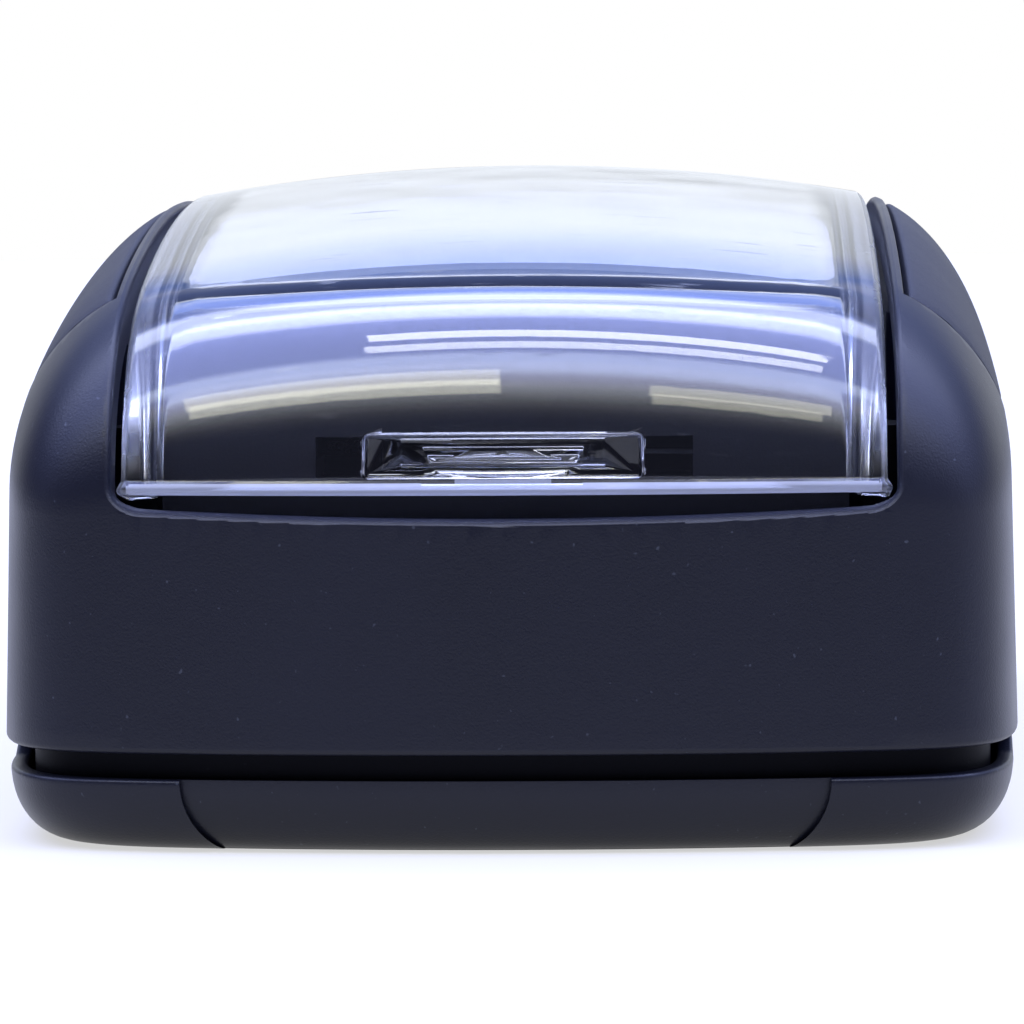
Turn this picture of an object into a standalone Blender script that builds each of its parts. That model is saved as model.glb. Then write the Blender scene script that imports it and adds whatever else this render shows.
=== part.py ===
"""A slim pre-inked stamp, closed and standing on its dust cap, as separate parts.

Run it with: blender --background --python part.py
Every length below is in millimetres, and the meshes are made in metres.
X is the width, Y the length and Z is up. The end with the lid's latch faces -Y.
The origin is the centre of the dust cap's flat underside.
"""

import math

import bmesh
import bpy
from mathutils import Vector

MM = 0.001

# ---------------------------------------------------------------- driving dimensions

BODY_WIDTH = 48.0
BODY_LENGTH = 95.0
BODY_HEIGHT = 30.7
OUTLINE_POWER = 12.0  # exponent of the superellipse that is the outline seen from above
END_BULGE = 2.6  # the ends stand out this much more in their middle than at the corners
DRAFT = 0.022  # how much the walls lean in per length upwards
CROWN_RADIUS_X = 105.0  # curvature of the top across the width
CROWN_RADIUS_Y = 180.0  # curvature of the top along the length
SIDE_SHOULDER = 6.4  # rounding from the top into the long sides, sideways
SIDE_SHOULDER_DEPTH = 7.6  # and downwards
END_SHOULDER = 7.5  # rounding from the top into the ends

TOUCH_GAP = 0.3  # left between pieces that rest on each other
SLIDE_GAP = 0.25  # between the base frame and the housing that slides over it
PRESS_TRAVEL = 2.4  # how far the base frame goes up into the housing

# Dust cap
CAP_INSET = 0.2  # the cap stands back this far from the housing's sides
CAP_FLOOR = 1.5
CAP_END_TOP = 3.4  # rim height at the two ends
CAP_EDGE_WIDTH = 2.4  # rounding of the lower edge, sideways
CAP_EDGE_HEIGHT = 3.3  # rounding of the lower edge, upwards
CAP_TAB_HALF = 32.0  # half the length of the raised grip on each long side
CAP_TAB_SLOPE = 1.6
CAP_NOTCH_HALF = 14.9  # half the width of the finger recess at each end
CAP_NOTCH_DEPTH = 0.3
CAP_NOTCH_CORNER = 4.0
LINER_THICKNESS = 2.0
LINER_MARGIN = 0.6  # the liner reaches past the die by this much

# Housing shell
SHELL_BOTTOM = 4.6
SHELL_SKIRT_WALL = 1.0  # wall where the base frame slides inside it
SHELL_WALL = 2.1  # wall above the tray's seat
OPENING_MARGIN = 6.0  # from each long side to the window opening
OPENING_BOTTOM = 15.3  # lowest point of the opening's curved lower rim
OPENING_RISE = 0.3  # the rim is this much higher at its corners
OPENING_CORNER = 1.4

# Side grips
GRIP_THICKNESS = 0.7
GRIP_RIM = 0.6  # strip of housing left between a grip and the window opening
GRIP_END_MARGIN = 12.0  # from the end of the body to the grip's end
GRIP_BOTTOM = 18.2  # lowest point of the grip, in its middle
GRIP_RISE = 1.3  # its lower edge is this much higher where the corners begin
GRIP_CORNER = 5.5

# Index window, the clear lid
WINDOW_GAP = 0.5
WINDOW_WALL = 1.3
WINDOW_BOTTOM = 16.45
WINDOW_SKIRT = 4.0  # how far the lid's side walls hang below its top
WINDOW_END_POST = 6.0  # length over which the side walls are full height
LATCH_WIDTH = 12.8
LATCH_HEIGHT = 2.1
LATCH_RISE = 0.55  # from the lid's lower edge up to the latch block
HOOK_WIDTH = 3.0
HOOK_SPACING = 11.0
HOOK_THICKNESS = 0.8
HOOK_REACH = 2.7  # from the hinge line to the hook's tip
HINGE_RISE = 0.7  # hinge line above the lid's lower edge

# Index card
CARD_THICKNESS = 0.25
CARD_SIDE_MARGIN = 0.9  # from the lid's side wall to the card
CARD_END_MARGIN = 12.5  # from the end of the body to the card
CARD_CORNER = 3.0

# Label tray
TRAY_WALL = 1.2
TRAY_END_SETBACK = 2.8  # from the end of the body to the tray's end wall
TRAY_PLATE = 1.4
TRAY_SIDE_GAP = 0.4
SLOT_WIDTH = 17.2
SLOT_BOTTOM = 16.95
SLOT_HEIGHT = 1.9
HOOK_SLOT_HEIGHT = 3.3
INK_PORT_Y = 22.0
INK_PORT_RADIUS = 2.0
INK_TUBE_WALL = 1.0
PLUG_HEAD_RADIUS = 2.6
PLUG_HEAD = 0.6
PLUG_DEPTH = 3.0
GUIDE_BOSS_RADIUS = 2.8
GUIDE_BOSS_DROP = 1.7

# Die, ink pad and what holds them
DIE_SIDE_MARGIN = 10.5  # from the body's side to the die
DIE_END_MARGIN = 13.5
DIE_FACE_STEP = 0.9  # the printing face is this much smaller all round than the flange
DIE_FLANGE = 0.9
DIE_PROUD = 0.4  # the face stands below the clamp frame by this much
CLAMP_LIP = 0.8
CLAMP_WALL = 1.0
CLAMP_HEIGHT = 3.9
CLAMP_HOLD = 0.6  # how far the lip reaches under the die's flange
PAD_THICKNESS = 3.7
CARRIER_WALL = 1.1
CARRIER_PLATE = 1.4
CARRIER_SCREW_OUT = 2.5  # from the carrier's side wall to the screw
CARRIER_SCREW_Y = 26.0
EAR_RADIUS = 2.4

# Base frame, guides and springs
FRAME_WALL = 1.3
FRAME_TOP = 8.5
FRAME_SHELF_RISE = 1.1
FRAME_SHELF = 1.0
FRAME_CHAMFER = 0.7
SHELF_GAP = 0.6  # between the end shelf and the clamp frame
GUIDE_X = 11.0
GUIDE_CLEARANCE = 1.2  # from the tray's end wall to the clips on the guide pins
PIN_RADIUS = 1.2
PIN_HEAD_RADIUS = 2.2
PIN_HEAD = 0.6
CLIP_RADIUS = 2.2
CLIP_THICKNESS = 0.5
CLIP_STAND = 0.4  # pin end above the clip
SPRING_RADIUS = 2.05
SPRING_WIRE = 0.45
SPRING_TURNS = 4.5

# Screws
SCREW_GAP = 0.3
HOUSING_SCREW_RADIUS = 0.7
HOUSING_SCREW_HEAD = 1.4
HOUSING_SCREW_HEAD_HEIGHT = 0.9
HOUSING_SCREW_BITE = 4.2
HOUSING_SCREW_IN = 3.2  # from the body's side to the screw
HOUSING_SCREW_Y = 18.0
HOUSING_BOSS_RADIUS = 1.6
HOUSING_BOSS_DROP = 8.5  # from the top of the body to the top of the boss
CARRIER_SCREW_RADIUS = 0.9
CARRIER_SCREW_HEAD = 1.9
CARRIER_SCREW_HEAD_HEIGHT = 1.0
CARRIER_SCREW_BITE = 3.0

# Mesh fineness
OUTLINE_POINTS = 64
SHOULDER_STEPS = 5
CROWN_STEPS = 4
ROUND_POINTS = 16
SMALL_ROUND_POINTS = 12
SPRING_TURN_POINTS = 8
SPRING_SIDES = 5
REACH = 60.0  # cutters run this far, well past the body

# ---------------------------------------------------------------- places that follow

HALF_WIDTH = BODY_WIDTH / 2
HALF_LENGTH = BODY_LENGTH / 2
OPENING_HALF = HALF_WIDTH - OPENING_MARGIN
WINDOW_HALF = OPENING_HALF - WINDOW_GAP
TRAY_HALF = WINDOW_HALF - WINDOW_WALL - TRAY_SIDE_GAP

FRAME_INSET = SHELL_SKIRT_WALL + SLIDE_GAP
FRAME_INNER = FRAME_INSET + FRAME_WALL
FRAME_BOTTOM = CAP_FLOOR + TOUCH_GAP
SHELF_BOTTOM = FRAME_BOTTOM + FRAME_SHELF_RISE
SHELF_TOP = SHELF_BOTTOM + FRAME_SHELF

DIE_HALF_X = HALF_WIDTH - DIE_SIDE_MARGIN
DIE_HALF_Y = HALF_LENGTH - DIE_END_MARGIN
DIE_FACE = FRAME_BOTTOM + PRESS_TRAVEL
CLAMP_BOTTOM = DIE_FACE + DIE_PROUD
DIE_FLANGE_BOTTOM = CLAMP_BOTTOM + CLAMP_LIP + TOUCH_GAP
DIE_TOP = DIE_FLANGE_BOTTOM + DIE_FLANGE
PAD_BOTTOM = DIE_TOP + TOUCH_GAP
PAD_TOP = PAD_BOTTOM + PAD_THICKNESS
CARRIER_PLATE_BOTTOM = PAD_TOP + TOUCH_GAP
CARRIER_TOP = CARRIER_PLATE_BOTTOM + CARRIER_PLATE
CARRIER_OUT = TOUCH_GAP + CARRIER_WALL  # from the die to the carrier's outside
CLAMP_OUT = CARRIER_OUT + TOUCH_GAP + CLAMP_WALL
SHELF_EDGE_Y = DIE_HALF_Y + CLAMP_OUT + SHELF_GAP

TRAY_BOTTOM = CARRIER_TOP + TOUCH_GAP
TRAY_PLATE_TOP = TRAY_BOTTOM + TRAY_PLATE
TRAY_PLATE_INSET = SHELL_SKIRT_WALL + TOUCH_GAP
SHELL_SEAT = TRAY_PLATE_TOP + TOUCH_GAP
CARD_TOP = WINDOW_WALL + TOUCH_GAP  # depth under the body's outer surface
DECK_TOP = CARD_TOP + CARD_THICKNESS + TOUCH_GAP

GUIDE_Y = HALF_LENGTH - TRAY_END_SETBACK - TRAY_WALL - GUIDE_CLEARANCE - CLIP_RADIUS
GUIDE_BOSS_BOTTOM = TRAY_BOTTOM - GUIDE_BOSS_DROP
CLIP_BOTTOM = TRAY_PLATE_TOP + TOUCH_GAP
CLIP_TOP = CLIP_BOTTOM + CLIP_THICKNESS
SPRING_BOTTOM = SHELF_TOP + TOUCH_GAP
SPRING_TOP = GUIDE_BOSS_BOTTOM - TOUCH_GAP

HOUSING_SCREW_X = HALF_WIDTH - HOUSING_SCREW_IN
CARRIER_SCREW_X = DIE_HALF_X + CARRIER_OUT + CARRIER_SCREW_OUT
HINGE_Y = HALF_LENGTH - WINDOW_WALL / 2
HINGE_Z = WINDOW_BOTTOM + HINGE_RISE

SIDES = {"left": -1, "right": 1}
ENDS = {"front": -1, "rear": 1}

# ---------------------------------------------------------------- making objects


def clear_scene():
    for old in list(bpy.data.objects):
        bpy.data.objects.remove(old)


def material(name, color, roughness, metallic=0.0, alpha=1.0):
    made = bpy.data.materials.new(name)
    made.use_nodes = True
    shader = made.node_tree.nodes["Principled BSDF"]
    shader.inputs["Base Color"].default_value = (*color, 1.0)
    shader.inputs["Roughness"].default_value = roughness
    shader.inputs["Metallic"].default_value = metallic
    shader.inputs["Alpha"].default_value = alpha
    return made


def object_from(name, bm, paint=None):
    """Links a bmesh made in millimetres as an object in metres, facing out."""
    bmesh.ops.scale(bm, vec=(MM, MM, MM), verts=bm.verts)
    bmesh.ops.recalc_face_normals(bm, faces=bm.faces)
    mesh = bpy.data.meshes.new(name)
    bm.to_mesh(mesh)
    bm.free()
    made = bpy.data.objects.new(name, mesh)
    bpy.context.scene.collection.objects.link(made)
    if paint:
        mesh.materials.append(paint)
    mesh.shade_smooth()
    mesh.set_sharp_from_angle(angle=math.radians(35))
    return made


def combine(target, operation, *tools):
    """Adds Booleans to target and hides the tools, which are only helpers."""
    for tool in tools:
        step = target.modifiers.new(tool.name, "BOOLEAN")
        step.operation = operation
        step.object = tool
        tool.hide_render = True
        tool.display_type = "WIRE"
    return target


def cut(target, *tools):
    return combine(target, "DIFFERENCE", *tools)


def join(target, *tools):
    return combine(target, "UNION", *tools)


def keep_inside(target, *tools):
    return combine(target, "INTERSECT", *tools)


def stack(name, rings, paint=None, apex=None):
    """A closed solid through rings of equal count, lowest ring first."""
    bm = bmesh.new()
    loops = [[bm.verts.new(point) for point in ring] for ring in rings]
    for low, high in zip(loops, loops[1:]):
        for i in range(len(low)):
            bm.faces.new((low[i - 1], low[i], high[i], high[i - 1]))
    bm.faces.new(reversed(loops[0]))
    if apex is None:
        bm.faces.new(loops[-1])
    else:
        tip = bm.verts.new(apex)
        for i in range(len(loops[-1])):
            bm.faces.new((loops[-1][i - 1], loops[-1][i], tip))
    return object_from(name, bm, paint)


def prism(name, points, low, high, axis="Z", paint=None):
    """A flat outline pushed from low to high along an axis.

    The outline's two numbers are x, y for axis Z, x, z for axis Y and y, z for axis X.
    """
    place = {
        "X": lambda p, t: (t, p[0], p[1]),
        "Y": lambda p, t: (p[0], t, p[1]),
        "Z": lambda p, t: (p[0], p[1], t),
    }[axis]
    rings = [[place(p, t) for p in points] for t in (low, high)]
    return stack(name, rings, paint)


def box(name, low, high, paint=None):
    corners = [(low[0], low[1]), (high[0], low[1]), (high[0], high[1]), (low[0], high[1])]
    return prism(name, corners, low[2], high[2], "Z", paint)


def circle(radius, points=ROUND_POINTS, centre=(0.0, 0.0)):
    turn = 2 * math.pi / points
    return [
        (centre[0] + radius * math.cos(i * turn), centre[1] + radius * math.sin(i * turn))
        for i in range(points)
    ]


def turned(name, profile, centre, points=ROUND_POINTS, paint=None):
    """A round solid from (radius, z) pairs, lowest first."""
    rings = [[(x, y, z) for x, y in circle(radius, points, centre)] for radius, z in profile]
    return stack(name, rings, paint)


def rounded_rectangle(half_x, half_y, radius, steps=5):
    points = []
    for quarter, (sx, sy) in enumerate(((1, 1), (-1, 1), (-1, -1), (1, -1))):
        for i in range(steps + 1):
            angle = (quarter + i / steps) * math.pi / 2
            points.append(
                (
                    sx * (half_x - radius) + radius * math.cos(angle),
                    sy * (half_y - radius) + radius * math.sin(angle),
                )
            )
    return points


# ---------------------------------------------------------------- the body's form


def quarter(fine=400):
    """Fine points of the unit superellipse, from the end's middle to the side's middle."""
    power = OUTLINE_POWER
    corner = 0.5 ** (1 / power)
    first = [corner * i / fine for i in range(fine + 1)]
    ends = [(c, (1 - c**power) ** (1 / power)) for c in first]
    return ends + [(c, s) for s, c in reversed(ends[:-1])]


def place_on_outline(c, s, side=0.0, end=0.0):
    """The outline's x, y for a direction, drawn in by side and end."""
    return (HALF_WIDTH - side) * c, (HALF_LENGTH - end - END_BULGE * c * c) * s


def outline_directions(count=OUTLINE_POINTS):
    """Directions spaced evenly by a mix of distance and turning along the outline."""
    fine = quarter()
    spots = [place_on_outline(c, s) for c, s in fine]
    lengths, turns = [0.0], [0.0]
    heading = None
    for (x0, y0), (x1, y1) in zip(spots, spots[1:]):
        now = math.atan2(y0 - y1, x1 - x0)
        lengths.append(lengths[-1] + math.hypot(x1 - x0, y1 - y0))
        turns.append(turns[-1] + (abs(now - heading) if heading is not None else 0.0))
        heading = now
    share = [0.4 * run / lengths[-1] + 0.6 * turn / turns[-1] for run, turn in zip(lengths, turns)]
    steps = count // 4
    found, i = [], 0
    for k in range(steps):
        while share[i] < k / steps:
            i += 1
        found.append(fine[i])
    found.append((1.0, 0.0))
    found[0] = (0.0, 1.0)
    right_rear = found[::-1]
    left_rear = [(-c, s) for c, s in found]
    left_front = [(-c, -s) for c, s in right_rear]
    right_front = [(c, -s) for c, s in found]
    return right_rear[:-1] + left_rear[:-1] + left_front[:-1] + right_front[:-1]


DIRECTIONS = outline_directions()


def outline(inset):
    """The plan outline drawn in by inset, as x, y points."""
    return [place_on_outline(c, s, inset, inset) for c, s in DIRECTIONS]


def crown(x, y):
    return BODY_HEIGHT - x * x / (2 * CROWN_RADIUS_X) - y * y / (2 * CROWN_RADIUS_Y)


def end_share(c, s):
    """0 on the long sides, 1 on the ends, and between the two at the corners."""
    along, across = abs(s) ** OUTLINE_POWER, abs(c) ** OUTLINE_POWER
    return along / (along + across)


def leaned(x, y, z):
    """Moves a point of the walls in, the more the higher it is."""
    inward = DRAFT * (z - SHELL_BOTTOM)
    return x * (1 - inward / HALF_WIDTH), y * (1 - inward / HALF_LENGTH), z


def body_solid(name, side, end, top, bottom):
    """The body's outer form, drawn in by these amounts, down to a flat bottom."""
    side_round, end_round = SIDE_SHOULDER - side, END_SHOULDER - end
    drawn = [place_on_outline(c, s, side, end) for c, s in DIRECTIONS]
    rings = [[leaned(x, y, bottom) for x, y in drawn]]
    for k in range(SHOULDER_STEPS + 1):
        angle = math.pi / 2 * k / SHOULDER_STEPS
        inward, drop = 1 - math.cos(angle), 1 - math.sin(angle)
        ring = []
        for c, s in DIRECTIONS:
            x, y = place_on_outline(c, s, side + side_round * inward, end + end_round * inward)
            share = end_share(c, s)
            depth = (SIDE_SHOULDER_DEPTH - top) * (1 - share) + (END_SHOULDER - top) * share
            ring.append(leaned(x, y, crown(x, y) - top - depth * drop))
        rings.append(ring)
    rim = rings[-1]
    for k in range(1, CROWN_STEPS):
        inner = [(x * (1 - k / CROWN_STEPS), y * (1 - k / CROWN_STEPS)) for x, y, _ in rim]
        rings.append([(x, y, crown(x, y) - top) for x, y in inner])
    return stack(name, rings, apex=(0.0, 0.0, BODY_HEIGHT - top))


def height(x, y):
    """Height of the body's outer surface over a point inside the outline."""
    z = BODY_HEIGHT
    for _ in range(4):
        inward = DRAFT * (z - SHELL_BOTTOM)
        across = abs(x) / (1 - inward / HALF_WIDTH)
        along = abs(y) / (1 - inward / HALF_LENGTH)
        low, high = 0.0, 1.0
        for _ in range(30):
            k = (low + high) / 2
            c = across / (HALF_WIDTH - SIDE_SHOULDER * k)
            s = along / (HALF_LENGTH - END_SHOULDER * k - END_BULGE * min(1.0, c) ** 2)
            if c**OUTLINE_POWER + s**OUTLINE_POWER < 1:
                low = k
            else:
                high = k
        share = end_share(c, s) if x or y else 0.0
        depth = SIDE_SHOULDER_DEPTH * (1 - share) + END_SHOULDER * share
        z = crown(across, along) - depth * (1 - math.sqrt(1 - (1 - low) ** 2))
    return z


# ---------------------------------------------------------------- housing


def opening_profile(half, bottom, rise, corner, steps=4):
    """The window's outline seen from the end: curved lower rim, round lower corners."""
    points = []
    for i in range(steps + 1):
        angle = math.pi + i / steps * math.pi / 2
        x = -half + corner + corner * math.cos(angle)
        points.append((x, bottom + rise + corner + corner * math.sin(angle)))
    straight = half - corner
    for i in range(1, steps):
        x = straight * (2 * i / steps - 1)
        points.append((x, bottom + rise * (x / straight) ** 2))
    points += [(-x, z) for x, z in reversed(points[: steps + 1])]
    return points + [(half, REACH), (-half, REACH)]


def grip_profile(gap):
    """A side grip's outline seen from the side, drawn in by gap: y, z points."""
    half = HALF_LENGTH - GRIP_END_MARGIN - gap
    corner = GRIP_CORNER - gap
    straight = half - corner
    low = GRIP_BOTTOM + gap
    points = [(-half, REACH)]
    steps = 4
    for i in range(steps + 1):
        angle = math.pi + i / steps * math.pi / 2
        y = -straight + corner * math.cos(angle)
        points.append((y, low + GRIP_RISE + corner * (1 + math.sin(angle))))
    for i in range(1, steps):
        y = straight * (i / steps - 1)
        points.append((y, low + GRIP_RISE * (y / straight) ** 2))
    return points + [(0.0, low)] + [(-y, z) for y, z in reversed(points)]


def housing_shell(paint):
    shell = body_solid("housing_shell", 0, 0, 0, SHELL_BOTTOM)
    shell.data.materials.append(paint)
    cut(
        shell,
        prism("skirt_space", outline(SHELL_SKIRT_WALL), 0, SHELL_SEAT),
        body_solid("upper_space", SHELL_WALL, SHELL_WALL, SHELL_WALL, 0),
    )
    boss_top = BODY_HEIGHT - HOUSING_BOSS_DROP
    for place, centre in housing_screw_places():
        boss = [(HOUSING_BOSS_RADIUS, SHELL_SEAT), (HOUSING_BOSS_RADIUS, boss_top)]
        join(shell, turned(f"housing_boss_{place}", boss, centre, SMALL_ROUND_POINTS))
    opening = opening_profile(OPENING_HALF, OPENING_BOTTOM, OPENING_RISE, OPENING_CORNER)
    cut(shell, prism("window_opening", opening, -REACH, REACH, "Y"))
    for side, sign in SIDES.items():
        inner = OPENING_HALF + GRIP_RIM
        span = sorted((sign * inner, sign * REACH))
        pocket = prism(f"{side}_grip_pocket", grip_profile(0), *span, "X")
        core = body_solid(f"{side}_pocket_floor", *[GRIP_THICKNESS + TOUCH_GAP] * 3, 0)
        cut(shell, cut(pocket, core))
    hole_radius = HOUSING_SCREW_RADIUS + SCREW_GAP
    hole_top = SHELL_SEAT + HOUSING_SCREW_BITE + SCREW_GAP
    for place, centre in housing_screw_places():
        hole = [(hole_radius, 0), (hole_radius, hole_top)]
        cut(shell, turned(f"housing_hole_{place}", hole, centre, SMALL_ROUND_POINTS))
    return shell


def side_grip(side, sign, paint):
    inner = OPENING_HALF + GRIP_RIM + TOUCH_GAP
    span = sorted((sign * inner, sign * REACH))
    grip = prism(f"{side}_side_grip", grip_profile(TOUCH_GAP), *span, "X", paint)
    keep_inside(grip, body_solid(f"{side}_grip_outside", 0, 0, 0, 0))
    return cut(grip, body_solid(f"{side}_grip_inside", *[GRIP_THICKNESS] * 3, 0))


def four_places(x, y):
    """The same place in each quarter, with the words that tell the four apart."""
    return [
        (f"{end}_{side}", (side_sign * x, end_sign * y))
        for end, end_sign in ENDS.items()
        for side, side_sign in SIDES.items()
    ]


def housing_screw_places():
    return four_places(HOUSING_SCREW_X, HOUSING_SCREW_Y)


def carrier_screw_places():
    return four_places(CARRIER_SCREW_X, CARRIER_SCREW_Y)


def guide_places():
    return four_places(GUIDE_X, GUIDE_Y)


# ---------------------------------------------------------------- window, card and tray


def window_trim():
    """What is cut away below the lid's side walls: an arch that follows the top."""
    half = HALF_LENGTH - WINDOW_END_POST
    steps = 8
    points = []
    for i in range(steps + 1):
        y = half * (2 * i / steps - 1)
        points.append((y, height(WINDOW_HALF, y) - WINDOW_WALL - WINDOW_SKIRT))
    return [(-half, 0), *points, (half, 0)][::-1]


def index_window(paint):
    corner = WINDOW_WALL / 2
    profile = opening_profile(WINDOW_HALF, WINDOW_BOTTOM, 0, corner)
    lid = prism("index_window", profile, -REACH, REACH, "Y", paint)
    keep_inside(lid, body_solid("window_outside", 0, 0, 0, 0))
    inner = WINDOW_HALF - WINDOW_WALL
    space = box("window_space", (-inner, -REACH, 0), (inner, REACH, REACH))
    keep_inside(space, body_solid("window_inside", *[WINDOW_WALL] * 3, -1))
    cut(lid, space, prism("window_trim", window_trim(), -REACH, REACH, "X"))
    sunk = WINDOW_WALL / 2
    tray_face = HALF_LENGTH - TRAY_END_SETBACK
    bottom = WINDOW_BOTTOM + LATCH_RISE
    latch = box(
        "latch_block",
        (-LATCH_WIDTH / 2, -HALF_LENGTH + sunk, bottom),
        (LATCH_WIDTH / 2, -tray_face - TOUCH_GAP, bottom + LATCH_HEIGHT),
    )
    join(lid, latch)
    for side, sign in SIDES.items():
        middle = sign * HOOK_SPACING / 2
        hook = box(
            f"{side}_hook",
            (middle - HOOK_WIDTH / 2, HINGE_Y - HOOK_REACH, HINGE_Z - HOOK_THICKNESS / 2),
            (middle + HOOK_WIDTH / 2, HALF_LENGTH - sunk, HINGE_Z + HOOK_THICKNESS / 2),
        )
        join(lid, hook)
    return lid


def index_card(paint):
    half_x = WINDOW_HALF - WINDOW_WALL - CARD_SIDE_MARGIN
    half_y = HALF_LENGTH - CARD_END_MARGIN
    columns, rows = 8, 14
    bm = bmesh.new()

    def point(i, j, depth):
        y = half_y * (2 * j / rows - 1)
        past = max(0.0, abs(y) - (half_y - CARD_CORNER))
        reach = half_x - CARD_CORNER + math.sqrt(CARD_CORNER**2 - past**2)
        x = reach * (2 * i / columns - 1)
        return bm.verts.new((x, y, height(x, y) - depth))

    faces = []
    for depth in (CARD_TOP, CARD_TOP + CARD_THICKNESS):
        grid = [[point(i, j, depth) for i in range(columns + 1)] for j in range(rows + 1)]
        for j in range(rows):
            for i in range(columns):
                corners = (grid[j][i], grid[j][i + 1], grid[j + 1][i + 1], grid[j + 1][i])
                faces.append(bm.faces.new(corners))
    edges = [edge for edge in bm.edges if edge.is_boundary]
    bmesh.ops.bridge_loops(bm, edges=edges)
    return object_from("index_card", bm, paint)


def hat(name, wall, bottom):
    """The raised part of the tray, drawn in by wall."""
    half = TRAY_HALF - wall
    made = box(name, (-half, -REACH, bottom), (half, REACH, REACH))
    form = body_solid(f"{name}_form", DECK_TOP + wall, TRAY_END_SETBACK + wall, DECK_TOP + wall, bottom - 1)
    return keep_inside(made, form)


def plug_level():
    """Height of the flat top of an ink plug, just under the sloping card."""
    return height(0, INK_PORT_Y + PLUG_HEAD_RADIUS) - DECK_TOP


def label_tray(paint):
    tray = prism("label_tray", outline(TRAY_PLATE_INSET), TRAY_BOTTOM, TRAY_PLATE_TOP, "Z", paint)
    join(tray, hat("tray_hat", 0, TRAY_BOTTOM + TRAY_PLATE / 2))
    carrier_x, carrier_y = DIE_HALF_X - TOUCH_GAP, SHELF_EDGE_Y - EAR_RADIUS
    cut(
        tray,
        hat("tray_space", TRAY_WALL, TRAY_PLATE_TOP),
        box("tray_throat", (-carrier_x, -carrier_y, 0), (carrier_x, carrier_y, TRAY_PLATE_TOP + TRAY_WALL)),
    )
    guide_top = TRAY_PLATE_TOP - TOUCH_GAP
    for _, centre in guide_places():
        profile = [(GUIDE_BOSS_RADIUS, GUIDE_BOSS_BOTTOM), (GUIDE_BOSS_RADIUS, guide_top)]
        join(tray, turned("guide_boss", profile, centre))
    screw_top = TRAY_PLATE_TOP + CARRIER_SCREW_BITE + SCREW_GAP
    for _, centre in carrier_screw_places():
        profile = [(EAR_RADIUS, TRAY_BOTTOM + TOUCH_GAP), (EAR_RADIUS, screw_top + TRAY_WALL)]
        join(tray, turned("carrier_boss", profile, centre, SMALL_ROUND_POINTS))
    deck = plug_level()
    for sign in ENDS.values():
        y = sign * INK_PORT_Y
        outer = INK_PORT_RADIUS + INK_TUBE_WALL
        tube = turned("ink_tube", [(outer, TRAY_BOTTOM), (outer, deck - PLUG_HEAD)], (0, y))
        join(tray, tube)
        head = PLUG_HEAD_RADIUS + TOUCH_GAP
        seat = deck - PLUG_HEAD - TOUCH_GAP
        cut(
            tray,
            turned("ink_bore", [(INK_PORT_RADIUS, 0), (INK_PORT_RADIUS, REACH)], (0, y)),
            turned("plug_seat", [(head, seat), (head, REACH)], (0, y)),
        )
    through = SHELL_SEAT + 1
    holes = [
        (guide_places(), PIN_RADIUS + SLIDE_GAP, through, ROUND_POINTS),
        (carrier_screw_places(), CARRIER_SCREW_RADIUS + SCREW_GAP, screw_top, SMALL_ROUND_POINTS),
        (housing_screw_places(), HOUSING_SCREW_RADIUS + SCREW_GAP, through, SMALL_ROUND_POINTS),
    ]
    for places, radius, top, points in holes:
        for place, centre in places:
            cut(tray, turned(f"tray_hole_{place}", [(radius, 0), (radius, top)], centre, points))
    half = SLOT_WIDTH / 2
    inner = HALF_LENGTH - TRAY_END_SETBACK - 2 * TRAY_WALL
    hook_bottom = HINGE_Z - HOOK_THICKNESS / 2 - TOUCH_GAP
    cut(
        tray,
        box("latch_slot", (-half, -REACH, SLOT_BOTTOM), (half, -inner, SLOT_BOTTOM + SLOT_HEIGHT)),
        box("hook_slot", (-half, inner, hook_bottom), (half, REACH, hook_bottom + HOOK_SLOT_HEIGHT)),
    )
    return tray


def ink_plug(end, sign, paint):
    y = sign * INK_PORT_Y
    head_bottom = plug_level() - PLUG_HEAD
    stem = INK_PORT_RADIUS - TOUCH_GAP
    profile = [
        (stem * 0.8, head_bottom - PLUG_DEPTH),
        (stem, head_bottom - PLUG_DEPTH + stem / 2),
        (stem, head_bottom),
        (PLUG_HEAD_RADIUS, head_bottom),
        (PLUG_HEAD_RADIUS, head_bottom + PLUG_HEAD),
    ]
    return turned(f"ink_port_plug_{end}", profile, (0, y), paint=paint)


# ---------------------------------------------------------------- die cartridge


def die_carrier(paint):
    half_x, half_y = DIE_HALF_X + CARRIER_OUT, DIE_HALF_Y + CARRIER_OUT
    rectangle = rounded_rectangle(half_x, half_y, CARRIER_WALL + TOUCH_GAP)
    carrier = prism("die_carrier", rectangle, DIE_FLANGE_BOTTOM, CARRIER_TOP, "Z", paint)
    low, high = CARRIER_PLATE_BOTTOM, CARRIER_TOP
    hole_radius = CARRIER_SCREW_RADIUS + SCREW_GAP
    for _, (x, y) in carrier_screw_places():
        inner = math.copysign(half_x - CARRIER_WALL, x)
        start, stop = sorted((inner, x))
        web = box("web", (start, y - EAR_RADIUS, low), (stop, y + EAR_RADIUS, high))
        join(carrier, web, turned("ear", [(EAR_RADIUS, low), (EAR_RADIUS, high)], (x, y)))
        hole = [(hole_radius, 0), (hole_radius, REACH)]
        cut(carrier, turned("ear_hole", hole, (x, y), SMALL_ROUND_POINTS))
    space = rounded_rectangle(DIE_HALF_X + TOUCH_GAP, DIE_HALF_Y + TOUCH_GAP, TOUCH_GAP, 2)
    cut(carrier, prism("cartridge_space", space, 0, CARRIER_PLATE_BOTTOM))
    for sign in ENDS.values():
        hole = [(INK_PORT_RADIUS, 0), (INK_PORT_RADIUS, REACH)]
        cut(carrier, turned("ink_inlet", hole, (0, sign * INK_PORT_Y), SMALL_ROUND_POINTS))
    return carrier


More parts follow.
